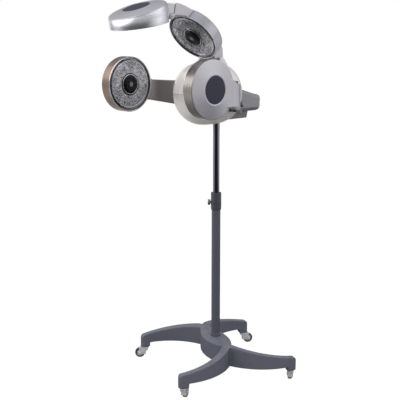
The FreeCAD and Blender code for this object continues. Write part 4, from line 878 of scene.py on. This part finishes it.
class SALON_OT_pods(bpy.types.Operator):
    """Turn the bands, bright rings, reflectors, hubs, lamps and discs of the pods"""
    bl_idname = "salon.pods"
    bl_label = "Heater pods"

    def execute(self, context):
        pod = context.scene.salon_pod
        steps = pod.segments
        edge, ring, hub = 1000 * pod.radius, 1000 * pod.ring_radius, 1000 * pod.hub_radius
        band, dish, plastic = "band_metal", "reflector_metal", "hub_black"
        ceramic = "lamp_ceramic"
        # Each turned piece: its finish, slot, node, smoothing angle, whether it is closed, points
        profiles = {
            "lip": ("ring_bright", band, "_band", 32.0, True, (
                (107.4, 0.9), (108.2, 0.15), (109.4, 0), (edge - 1.1, 0), (edge - 0.3, 0.4),
                (edge, 1.2), (edge, 2.5), (107.4, 2.5))),
            "cove": ("ring_shadow", band, "_band", 40.0, True, (
                (97.3, 11.6), (98.2, 10.7), (100.6, 10.3), (104.2, 9.9), (106.6, 8.7),
                (108.0, 6.6), (108.4, 2.6), (108.8, 2.6), (108.8, 11.9), (97.3, 11.9))),
            "dish": (dish, dish, "_reflector", 32.0, True,
                     self.dish_profile(hub + 0.2, 1000 * pod.dish_depth)),
            "bead": ("ring_bright", dish, "_reflector", 50.0, True, (
                (92.6, 8.6), (92.6, 3.2), (93.2, 2.2), (94.2, 1.8), (95.4, 1.8),
                (ring - 0.6, 2.3), (ring, 3.4), (ring, 13.9), (92.9, 13.9))),
            "hub": (plastic, plastic, "_hub", 28.0, False, (
                (0, -5.2), (11.0, -5.2), (11.4, -7.4), (12.2, -7.9), (14.6, -7.9), (15.4, -6.9),
                (17.0, -6.9), (17.8, -7.9), (20.4, -7.9), (21.2, -6.9), (22.8, -6.9),
                (23.6, -7.9), (28.6, -7.7), (31.6, -6.7), (33.9, -4.6), (hub - 0.7, -1.6),
                (hub, 2), (hub, 29.4), (0, 29.4))),
            "lens": ("lens_grey", plastic, "_hub", 32.0, False, (
                (0, -7.6), (3.5, -7.5), (7.2, -7.1), (9.6, -6.3), (10.8, -5.3), (10.9, -4.6),
                (0, -4.6))),
            "trim": ("ring_bright", plastic, "_hub", 50.0, True, (
                (37.2, 2.0), (37.4, 0.9), (38.6, 0.2), (40.2, 0.2), (41.2, 0.9), (41.4, 2.0),
                (41.0, 2.9), (37.6, 2.9))),
            # Painted shade: a black ring on the dish round the hub stands in for the shadow gap there
            "shade": (plastic, plastic, "_hub", 32.0, True, (
                (hub - 0.1, 1.6), (44.2, 1.4), (45.6, 1.9), (45.9, 3.0), (45.2, 3.9),
                (hub - 0.1, 3.9)))}
        masters = {}
        for label, (finish, slot, node, angle, closed, points) in profiles.items():
            made = turned(label, points, None, 72 if label == "lens" else steps, closed=closed,
                          angle=angle)
            masters[label] = (made, finish, slot, node)
        # Dents that the hammer left on the bright face
        dent(masters["dish"][0], 0.00035, 7, 0.0385, 0.0915)
        mesh, rings = self.make_guard(steps)
        tube, coil, holder = self.make_lamp(pod.lamp_radius, pod.tube_radius)
        masters["guard_mesh"] = (mesh, "mesh_bright", plastic, "_hub")
        masters["guard_rings"] = (rings, "ring_bright", plastic, "_hub")
        masters["tube"] = (tube, "quartz", ceramic, "_lamp")
        masters["coil"] = (coil, "filament", ceramic, "_lamp")
        disc = turned("disc", ((0, 15.0), (14, 14.86), (27, 14.48), (39, 13.92), (48, 13.36),
                               (51.2, 13.05), (52.5, 12.6), (53, 11.8), (53, 11.1), (0, 11.1)),
                      None, steps, angle=24.0)
        masters["disc"] = (disc, "disc_slate", "disc_slate", "_disc")
        for name in PODS:
            place = pod_place(name)
            for label, (master, finish, slot, node) in masters.items():
                at = place @ rim_place(name) if label == "disc" else place
                made = copy_of(master, name + "_pod_" + label, at)
                finish_piece(made, name + "_pod" + node, finish)
            for k in range(3):
                made = copy_of(holder, "%s_pod_holder_%d" % (name, k + 1),
                               place @ turn_about_z(90 + 120 * k))
                finish_piece(made, name + "_pod_lamp", ceramic)
            self.make_band(name, steps, edge, edge - 1000 * pod.band_wall)
        for master in [row[0] for row in masters.values()] + [holder]:
            bpy.data.objects.remove(master)
        return {"FINISHED"}

    def make_guard(self, segments):
        """Guard over the lamp: pressed mesh, crumpled a little, on its rings and ribs."""
        inner, width, rim, rise, thickness, steps = 45.0, 47.4, 2.9, 1.1, 0.5, 21
        rows = [(inner + width * k / steps, rim - rise * math.sin(math.pi * k / steps))
                for k in range(steps + 1)]
        under = [(radius, height + thickness) for radius, height in reversed(rows)]
        mesh = turned("mesh", rows + under, None, 132, closed=True, angle=180.0)
        dent(mesh, 0.0005, 11, 0.0455, 0.0919)
        wires = [torus(radius / 1000, 0.0008, rim / 1000, segments, 10)
                 for radius in (46.0, 57.5, 69.0, 80.5, 91.4)]
        for k in range(12):
            rib = block("spoke", (0.0565, 0.0015, 0.0015), (0.0637, 0, 0.0031), None, 0.0004, 2)
            settle(rib, turn_about_z(30 * k))
            wires.append(rib)
        join_all(wires, wires[0])
        smooth(wires[0], 40.0)
        return mesh, wires[0]

    def dish_profile(self, inner, depth):
        """Thin reflector sheet, deepest at the hub and flatter towards its edge."""
        outer, thickness, steps = 92.8, 1.5, 18
        front = []
        for k in range(steps + 1):
            share = k / steps
            radius = inner + (outer - inner) * share
            front.append((radius, depth - 4.6 * share ** 2 - 10.4 * share ** 4.2))
        return front + [(radius, height + thickness) for radius, height in reversed(front)]

    def make_lamp(self, radius, glass):
        """Ring lamp: quartz tube, coiled filament, and one ceramic holder."""
        height = 0.009
        tube = torus(radius, glass, height, 160, 20)
        smooth(tube, 60.0)
        coil = torus(radius, 0.0014, height, 320, 6)
        dent(coil, 0.0004, 3)
        smooth(coil, 60.0)
        holder = block("holder", (0.013, 0.007, 0.0125), (radius, 0.0, 0.0162), None, 0.0012)
        return tube, coil, holder

    def make_band(self, pod, segments, edge, inner):
        """Metal band of a pod; the top one is cut at a slant along its outer edge."""
        depth = 1000 * POD_DEPTH[pod]
        tall = depth + 30 if pod == "top" else depth - 0.2
        band = turned(pod + "_pod_sleeve",
                      ((107.6, 2.55), (edge, 2.55), (edge, tall - 0.8), (edge - 0.6, tall),
                       (inner, tall), (inner, 14), (97.2, 14), (97.2, 12.1), (108.9, 12.1),
                       (108.9, 3.6), (107.6, 3.2)), None, segments, closed=True)
        if pod == "top":
            edit_all(band)
            bpy.ops.mesh.bisect(plane_co=(0, 0, POD_DEPTH[pod] - 0.0002), clear_outer=True,
                                plane_no=(0, -math.sin(TOP_LEAN), math.cos(TOP_LEAN)))
            bpy.ops.mesh.select_all(action="SELECT")
            bpy.ops.mesh.region_to_loop()
            bpy.ops.mesh.bridge_edge_loops()
            close_edit()
        settle(band, pod_place(pod))
        # Each band takes its pod's lit or shaded copy of the band metal, a painted light
        finish_piece(band, pod + "_pod_band", "band_" + pod)


class SALON_OT_control_box(bpy.types.Operator):
    """Round the control box and build its panel, buttons, dial, inlet and switch"""
    bl_idname = "salon.control_box"
    bl_label = "Control box"

    def execute(self, context):
        def hold(co):
            """Keep the end that meets the housing as it is."""
            return ramp(co.y, 0.05, 0.08)
        round_node("control_box_shell", "box_moulding", 0.0016, 16, "box_silver", hold=hold)
        round_node("control_box_plinth", "plinth_moulding", 0.0014, 3, "plinth_grey", hold=hold)
        self.make_dial()
        self.make_panel()
        round_node("power_inlet", "inlet_moulded", 0.0005, 3, "inlet_black")
        for number, (x, y) in enumerate(((0.020, -0.001), (0.034, -0.001), (0.027, 0.002))):
            pin = block("inlet_pin_%d" % (number + 1), (0.0026, 0.0046, 0.0104),
                        (x, y, -0.0048), REAR_FACE, 0.0007)
            finish_piece(pin, "power_inlet", "pin_brass")
        round_node("power_switch", "rocker_moulded", 0.0005, 3, "switch_black")
        return {"FINISHED"}

    def make_dial(self):
        """Side dial: a skirt, a ribbed grip and a pale pointer line."""
        dial = turned("dial_body", ((0, 0.4), (12.0, 0.4), (12.0, 2.2), (11.4, 3.0), (10.4, 3.4),
                                    (9.8, 12.4), (9.2, 13.6), (8.2, 14), (7.0, 13.7), (0, 13.7)),
                      angle=28.0)
        ribs = []
        for k in range(20):
            rib = block("rib", (0.0014, 0.0013, 0.0088), (0.0099, 0, 0.0080), None, 0.0004, 2)
            settle(rib, turn_about_z(18 * k))
            ribs.append(rib)
        pointer = block("dial_pointer", (0.0062, 0.0010, 0.0006), (0.0055, 0, 0.0138), None,
                        0.0002, 2)
        join_all(ribs, dial)
        low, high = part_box("side_dial")
        middle = (Vector(low) + Vector(high)) / 2
        place = axes((DIAL_FACE, middle.y, middle.z), (0, 1, 0), (0, 0, 1), (1, 0, 0))
        for piece, finish in ((dial, "dial_chrome"), (pointer, "pointer_white")):
            settle(piece, place)
            smooth(piece)
            finish_piece(piece, "side_dial", finish)

    def make_panel(self):
        """Panel with its display frame, the display's digits, three caps and their lamps."""
        round_node("control_panel", "panel_plate", 0.0006, 2, "panel_dark")
        bezel = block("display_bezel", (0.054, 0.024, 0.0014), (0, DISPLAY_ROW, 0.0004), None, 0.0)
        self.open_middle(bezel)
        finish_piece(bezel, "control_panel", "trim_grey", replaces=False)
        glass = block("display_glass", (0.0476, 0.0176, 0.0015), (0, DISPLAY_ROW, -0.0008),
                      PANEL_FACE, 0.0004)
        finish_piece(glass, "display_window", "window_glass")
        self.make_digits()
        for node, x in BUTTONS.items():
            at = PANEL_FACE @ Matrix.Translation((x, BUTTON_ROW, 0))
            cap = turned(node + "_cap", ((0, 1.1), (2.4, 1.2), (4.0, 1.6), (4.7, 2.0), (5.4, 1.9),
                                         (5.9, 1.3), (6.0, 0.4), (6.0, -6.0), (0, -6.0)),
                         at, 64, angle=40.0)
            finish_piece(cap, node, "button_grey")
            ring = turned(node + "_ring", ((6.4, 0.1), (6.5, 0.7), (7.0, 0.9), (7.5, 0.6),
                                           (7.6, 0.1)), at, 64, closed=True, angle=50.0)
            lamp = turned(node + "_lamp", ((0, 0.75), (0.7, 0.65), (1.2, 0.3), (1.25, 0.05),
                                           (0, 0.05)),
                          PANEL_FACE @ Matrix.Translation((x, LAMP_ROW, 0)), 32, angle=60.0)
            for piece, finish in ((ring, "trim_grey"), (lamp, "lamp_green" if x else "lamp_red")):
                finish_piece(piece, "control_panel", finish, replaces=False)

    def open_middle(self, bezel):
        """Inset the bezel's face, and bridge it through to the back as an open frame."""
        edit_all(bezel)
        bpy.ops.mesh.select_mode(type="FACE")
        mesh = bmesh.from_edit_mesh(bezel.data)
        for face in mesh.faces:
            face.select = abs(face.normal.z) > 0.9
        bmesh.update_edit_mesh(bezel.data)
        bpy.ops.mesh.inset(thickness=0.0032, depth=0.0)
        bpy.ops.mesh.bridge_edge_loops()
        close_edit()
        round_edges(bezel, 0.0003, 2)
        settle(bezel, PANEL_FACE)
        smooth(bezel)

    def make_digits(self):
        """Two seven-segment digits that read 20."""
        lit = {0: "abcdef", 2: "abdeg"}
        # Place of each bar in half digits, and whether it lies flat
        bars = {"a": (0, 1, 1), "b": (1, 0.5, 0), "c": (1, -0.5, 0), "d": (0, -1, 1),
                "e": (-1, -0.5, 0), "f": (-1, 0.5, 0), "g": (0, 0, 1)}
        half_width, half_height = 0.0029, 0.0056
        made = []
        for middle, digit in ((-0.0062, 2), (0.0062, 0)):
            for name in lit[digit]:
                x, y, flat = bars[name]
                size = (0.0046, 0.0010, 0.0003) if flat else (0.0010, 0.0046, 0.0003)
                centre = (middle + half_width * x, DISPLAY_ROW - half_height * y, 0.00005)
                made.append(block("bar", size, centre, None, 0.00035, 1))
        digits = made[0]
        join_all(made, digits)
        digits.name = "display_digits"
        settle(digits, PANEL_FACE)
        finish_piece(digits, "display_window", "digit_amber")


class SALON_OT_finishes(bpy.types.Operator):
    """Build the shared effects and every finish"""
    bl_idname = "salon.finishes"
    bl_label = "Finishes"

    def execute(self, context):
        for make in EFFECTS:
            tree = make()
            GROUPS[tree.name] = tree
        self.make_paints(context.scene)
        self.make_plastics()
        self.make_metals(context.scene.salon_pod)
        return {"FINISHED"}

    def make_paints(self, scene):
        """Painted pieces, whose colours are settings."""
        stand, head, pod, box = (scene.salon_stand, scene.salon_head, scene.salon_pod,
                                 scene.salon_box)
        painted("base_paint", stand.paint, stand.paint_worn, (0.4, 0.56), peel=420.0,
                depth=0.0003, speck=0.08, dust=0.12, edge=(0.003, 3.0))
        painted("column_paint", stand.column, (120, 122, 130), (0.36, 0.5), peel=420.0,
                depth=0.0003, speck=0.08)
        painted("collar_black", stand.collar, (84, 86, 92), (0.3, 0.45), speck=0.06)
        # Both housing shells carry the painted shade line along their parting line
        painted("housing_ivory", head.ivory, (252, 250, 248), (0.24, 0.34), metallic=0.12,
                coat=0.35, tone=0.95, shade_line_height=head.joint_height)
        painted("housing_grey", head.ivory_low, (232, 229, 228), (0.26, 0.36), metallic=0.2,
                coat=0.35, tone=0.93, shade_line_height=head.joint_height)
        # The second copy of the cover paint is darker and warmer: painted shade for the left cover
        # and its arm
        for name, colour in (("cover_silver", pod.silver), ("cover_silver_shaded", pod.shaded_cover)):
            painted(name, colour, (236, 235, 240), (0.28, 0.38), metallic=0.7, coat=0.25,
                    peel=700.0, depth=0.0001, speck=0.16, tone=0.93)
        painted("disc_slate", pod.disc, (92, 94, 108), (0.5, 0.62), peel=900.0,
                edge=(0.001, 2.0), specular=0.2)
        painted("hub_black", pod.hub, (60, 61, 68), (0.3, 0.42), speck=0.05, specular=0.3)
        painted("box_silver", box.silver, (196, 196, 202), (0.28, 0.4), metallic=0.45, coat=0.4,
                tone=0.94)
        painted("plinth_grey", box.plinth, (160, 159, 162), (0.34, 0.46), metallic=0.35)
        for name, colour in (("tread_dark", stand.tread_dark), ("tread_brown", stand.tread_brown)):
            painted(name, colour, (150, 146, 142), (0.62, 0.78), peel=260.0, depth=0.0006,
                    speck=0.12, dust=0.1, edge=(0.0012, 1.5))

    def make_plastics(self):
        """Small moulded pieces: colour, worn colour, roughness and what else differs."""
        for name, colour, worn, roughness, more in (
                ("guide_plastic", (180, 178, 172), (200, 198, 192), (0.35, 0.5), {}),
                ("lens_grey", (112, 114, 122), (168, 170, 176), (0.15, 0.25), {"coat": 0.5}),
                ("lamp_ceramic", (206, 202, 196), (226, 223, 218), (0.5, 0.65), {}),
                ("panel_dark", (38, 39, 44), (72, 74, 80), (0.12, 0.22),
                 {"coat": 0.6, "speck": 0.03}),
                ("window_glass", (18, 22, 24), (40, 46, 48), (0.04, 0.1),
                 {"coat": 1.0, "speck": 0.02}),
                ("button_grey", (176, 177, 180), (208, 209, 212), (0.35, 0.45), {"speck": 0.06}),
                ("knob_black", (40, 40, 44), (92, 93, 98), (0.34, 0.46), {"speck": 0.06}),
                ("inlet_black", (26, 26, 28), (66, 66, 70), (0.4, 0.5), {"speck": 0.05}),
                ("switch_black", (24, 24, 26), (70, 70, 74), (0.2, 0.3),
                 {"coat": 0.2, "speck": 0.04}),
                ("knob_grey", (112, 112, 117), (160, 160, 165), (0.34, 0.46), {"speck": 0.08}),
                ("pointer_white", (226, 226, 228), (240, 240, 242), (0.4, 0.5), {}),
                ("trim_grey", (120, 121, 126), (166, 167, 172), (0.3, 0.4), {"metallic": 0.5}),
                ("lamp_green", (70, 150, 96), (120, 190, 140), (0.15, 0.25), {}),
                ("lamp_red", (176, 58, 50), (210, 110, 100), (0.15, 0.25), {}),
                ("digit_amber", (236, 120, 52), (250, 170, 110), (0.3, 0.4), {}),
                ("board_green", (28, 84, 52), (60, 120, 84), (0.3, 0.4), {"coat": 0.3}),
                ("caster_chrome", (238, 239, 242), (250, 250, 252), (0.12, 0.24),
                 {"metallic": 0.35, "coat": 0.6, "peel": 900.0, "depth": 0.0001, "mottle": 60.0}),
                ("wheel_core", (206, 207, 210), (232, 233, 236), (0.3, 0.45),
                 {"metallic": 0.3, "mottle": 60.0})):
            painted(name, colour, worn, roughness, **more)

    def make_metals(self, pod):
        for name, colour, roughness, smear in (
                ("pin_brass", (196, 172, 112), (0.2, 0.35), 90.0),
                ("pole_chrome", (140, 140, 152), (0.05, 0.12), 22.0),
                ("knob_chrome", (206, 208, 214), (0.08, 0.2), 22.0),
                ("dial_chrome", (150, 150, 154), (0.12, 0.24), 80.0),
                ("zinc_steel", (172, 174, 178), (0.25, 0.4), 80.0),
                ("frame_steel", (120, 122, 126), (0.3, 0.45), 50.0),
                ("filament", (150, 140, 130), (0.3, 0.45), 90.0),
                ("ring_bright", (246, 247, 250), (0.06, 0.16), 30.0)):
            plated(name, colour, roughness, smear)
        plated("ring_shadow", (150, 152, 160), (0.04, 0.12), 30.0, tone=0.6)
        glassy("quartz", (236, 238, 242))
        hammered("reflector_metal", (214, 216, 222))
        meshed("mesh_bright", (246, 248, 255))
        brushed("wedge_metal", (206, 205, 212), (0.0, math.radians(90), 0.0), metallic=0.6,
                tone=0.88)
        # Painted light: one band metal in four tones, for how each pod's band is lit and what it
        # reflects
        lit_band_tones = {"right": pod.band, "left": pod.band_left_shaded, "upper": pod.band_upper_lit,
                 "top": pod.band_top_lit}
        upright = Vector((0.0, 0.0, 1.0))
        for name, tone in lit_band_tones.items():
            turn = (pod_place(name).to_3x3() @ upright).rotation_difference(upright).to_euler()
            brushed("band_" + name, tone, tuple(turn))


class SALON_OT_dress_frame(bpy.types.Operator):
    """Give every node of the frame its finish"""
    bl_idname = "salon.dress_frame"
    bl_label = "Frame finishes"

    def execute(self, context):
        for row in frame["record"]["subparts"]:
            node, finish = row["node"], row["material_slot"]
            # The one band metal is swapped for each pod's lit or shaded copy of it, a painted light
            if finish == "band_metal":
                finish = "band_" + node.split("_")[0]
            mesh = frame["nodes"][node].data
            mesh.materials.clear()
            mesh.materials.append(FINISHES[finish])
        return {"FINISHED"}


# Soft boxes and dark sides that shiny surfaces show: direction, where it starts, full, gain
SOFT_BOXES = (((0.68, 0.70, 0.06), 0.45, 0.96, 0.62), ((-0.74, -0.62, 0.16), 0.80, 0.99, 0.55),
              ((-0.20, -0.90, 0.55), 0.90, 0.99, 0.45), ((0.15, 0.30, 0.95), 0.86, 0.98, 0.70),
              ((-0.95, 0.25, 0.10), 0.93, 0.99, 0.90), ((0.70, -0.70, 0.10), 0.50, 0.95, -0.09))
# Sky levels at the horizon and what is added overhead, for shiny surfaces and for all else
SHINY_SKY, PLAIN_SKY = (0.12, 0.46), (0.86, 0.10)
SKY_TINT = (1.0, 0.98, 0.97, 1.0), (0.97, 0.975, 1.0, 1.0)
# Floor: its grey, what the camera sees added, and the share and strength of its own light
FLOOR_GREY, FLOOR_SEEN, FLOOR_GLOW, GLOW_STRENGTH = 0.52, 0.10, 0.86, 1.12
HEAD_MIDDLE = Vector((0.0, -0.15, 1.1))
WHITE = (1.0, 1.0, 1.0, 1.0)


class SALON_OT_stage(bpy.types.Operator):
    """Set the camera, the lamps, the world and the floor"""
    bl_idname = "salon.stage"
    bl_label = "Studio"

    def execute(self, context):
        scene, settings = context.scene, context.scene.salon_stage
        scene.view_settings.view_transform = "Standard"
        clear_selection()
        bpy.ops.object.camera_add(location=settings.camera_at)
        camera = context.object
        camera.rotation_euler = self.facing(settings.camera_towards)
        camera.data.lens = settings.lens
        camera.data.sensor_width = 36.0
        scene.camera = camera
        self.add_floor()
        self.add_world(scene)
        self.add_lamp("key", (-1.6, -2.2, 3.4), settings.key_power, 4.0)
        self.add_lamp("fill", (2.6, 1.8, 2.4), settings.fill_power, 2.0)
        return {"FINISHED"}

    def facing(self, direction):
        return Vector(direction).to_track_quat("-Z", "Y").to_euler()

    def add_lamp(self, name, at, power, size):
        """Round soft lamp that faces the middle of the head."""
        bpy.ops.object.light_add(type="AREA", location=at)
        lamp = bpy.context.object
        lamp.name = name
        lamp.data.energy = power
        lamp.data.shape = "DISK"
        lamp.data.size = size
        lamp.rotation_euler = self.facing(HEAD_MIDDLE - Vector(at))

    def seen(self, tree):
        """One where a ray comes from the camera, or through a clear surface."""
        path = shader_node(tree, "LightPath")
        return calc(tree, "MAXIMUM", path.outputs["Is Camera Ray"],
                    path.outputs["Is Transmission Ray"])

    def for_shiny(self, tree, shown, plain):
        """One level for what shiny surfaces show, and a plain one for all else."""
        shiny = shader_node(tree, "LightPath").outputs["Is Glossy Ray"]
        return calc(tree, "MULTIPLY_ADD", shiny, calc(tree, "SUBTRACT", shown, plain), plain)

    def add_floor(self):
        """White floor that keeps the shadow; shiny surfaces show it dark with pale sides."""
        bpy.ops.mesh.primitive_circle_add(vertices=96, radius=9.0, fill_type="NGON")
        floor = bpy.context.object
        floor.name = "studio_floor"
        material = bpy.data.materials.new("studio_floor")
        material.use_nodes = True
        tree = material.node_tree
        tree.nodes.clear()
        seen = self.seen(tree)
        place = object_place(tree)
        far_side = remap(tree, dot(tree, place, (0.35, 0.94, 0.0)), 2.2, 5.0, 0.04, 0.90)
        left_side = remap(tree, one_axis(tree, place, 0), -2.4, -0.6, 0.8, 0.04)
        shade = self.for_shiny(tree, calc(tree, "MAXIMUM", far_side, left_side),
                               calc(tree, "MULTIPLY_ADD", seen, FLOOR_SEEN, FLOOR_GREY))
        grey = shader_node(tree, "CombineColor")
        for socket in grey.inputs[:3]:
            wire(tree, shade, socket)
        matt = shader_node(tree, "BsdfDiffuse")
        wire(tree, grey.outputs[0], matt.inputs["Color"])
        white = shader_node(tree, "Emission")
        white.inputs["Strength"].default_value = GLOW_STRENGTH
        mix = shader_node(tree, "MixShader")
        for socket, source in zip(mix.inputs, (calc(tree, "MULTIPLY", seen, FLOOR_GLOW),
                                               matt.outputs[0], white.outputs[0])):
            wire(tree, source, socket)
        wire(tree, mix.outputs[0], shader_node(tree, "OutputMaterial").inputs[0])
        floor.data.materials.append(material)

    def add_world(self, scene):
        """White for the camera; a studio with soft boxes and dark sides for shiny surfaces."""
        world = bpy.data.worlds.new("studio_world")
        scene.world = world
        world.use_nodes = True
        tree = world.node_tree
        way = shader_node(tree, "TexCoord").outputs["Generated"]
        up = remap(tree, one_axis(tree, way, 2), 0.05, 0.85, smooth=True)
        level, plain = (calc(tree, "MULTIPLY_ADD", up, rise, horizon)
                        for horizon, rise in (SHINY_SKY, PLAIN_SKY))
        for towards, low, high, gain in SOFT_BOXES:
            spot = remap(tree, dot(tree, way, Vector(towards).normalized()), low, high,
                         smooth=True)
            level = calc(tree, "MULTIPLY_ADD", spot, gain, level)
        level = self.for_shiny(tree, level, plain)
        tint = blend_colours(tree, up, *SKY_TINT)
        lit = shader_node(tree, "VectorMath", operation="SCALE")
        wire(tree, tint, lit.inputs[0])
        wire(tree, level, lit.inputs["Scale"])
        colour = blend_colours(tree, self.seen(tree), lit.outputs[0], WHITE)
        wire(tree, colour, tree.nodes["Background"].inputs["Color"])


class SALON_PT_sidebar(bpy.types.Panel):
    """Builds the piece groups one by one"""
    bl_idname = "SALON_PT_sidebar"
    bl_label = "Hair colour processor"
    bl_space_type = "VIEW_3D"
    bl_region_type = "UI"
    bl_category = "Salon"

    def draw(self, context):
        for operator in STEPS:
            self.layout.operator(operator.bl_idname)


STEPS = (SALON_OT_finishes, SALON_OT_dress_frame, SALON_OT_base, SALON_OT_covers, SALON_OT_pods,
         SALON_OT_control_box, SALON_OT_stage)
SETTINGS = {"salon_stand": StandSettings, "salon_head": HeadSettings, "salon_pod": PodSettings,
            "salon_box": BoxSettings, "salon_stage": StageSettings}


def register():
    for name, group in SETTINGS.items():
        bpy.utils.register_class(group)
        setattr(bpy.types.Scene, name, PointerProperty(type=group))
    for operator in STEPS:
        bpy.utils.register_class(operator)
    bpy.utils.register_class(SALON_PT_sidebar)


def unregister():
    bpy.utils.unregister_class(SALON_PT_sidebar)
    for operator in reversed(STEPS):
        bpy.utils.unregister_class(operator)
    for name, group in SETTINGS.items():
        delattr(bpy.types.Scene, name)
        bpy.utils.unregister_class(group)


def main():
    register()
    for operator in STEPS:
        section, action = operator.bl_idname.split(".")
        getattr(getattr(bpy.ops, section), action)()


if __name__ == "__main__":
    main()
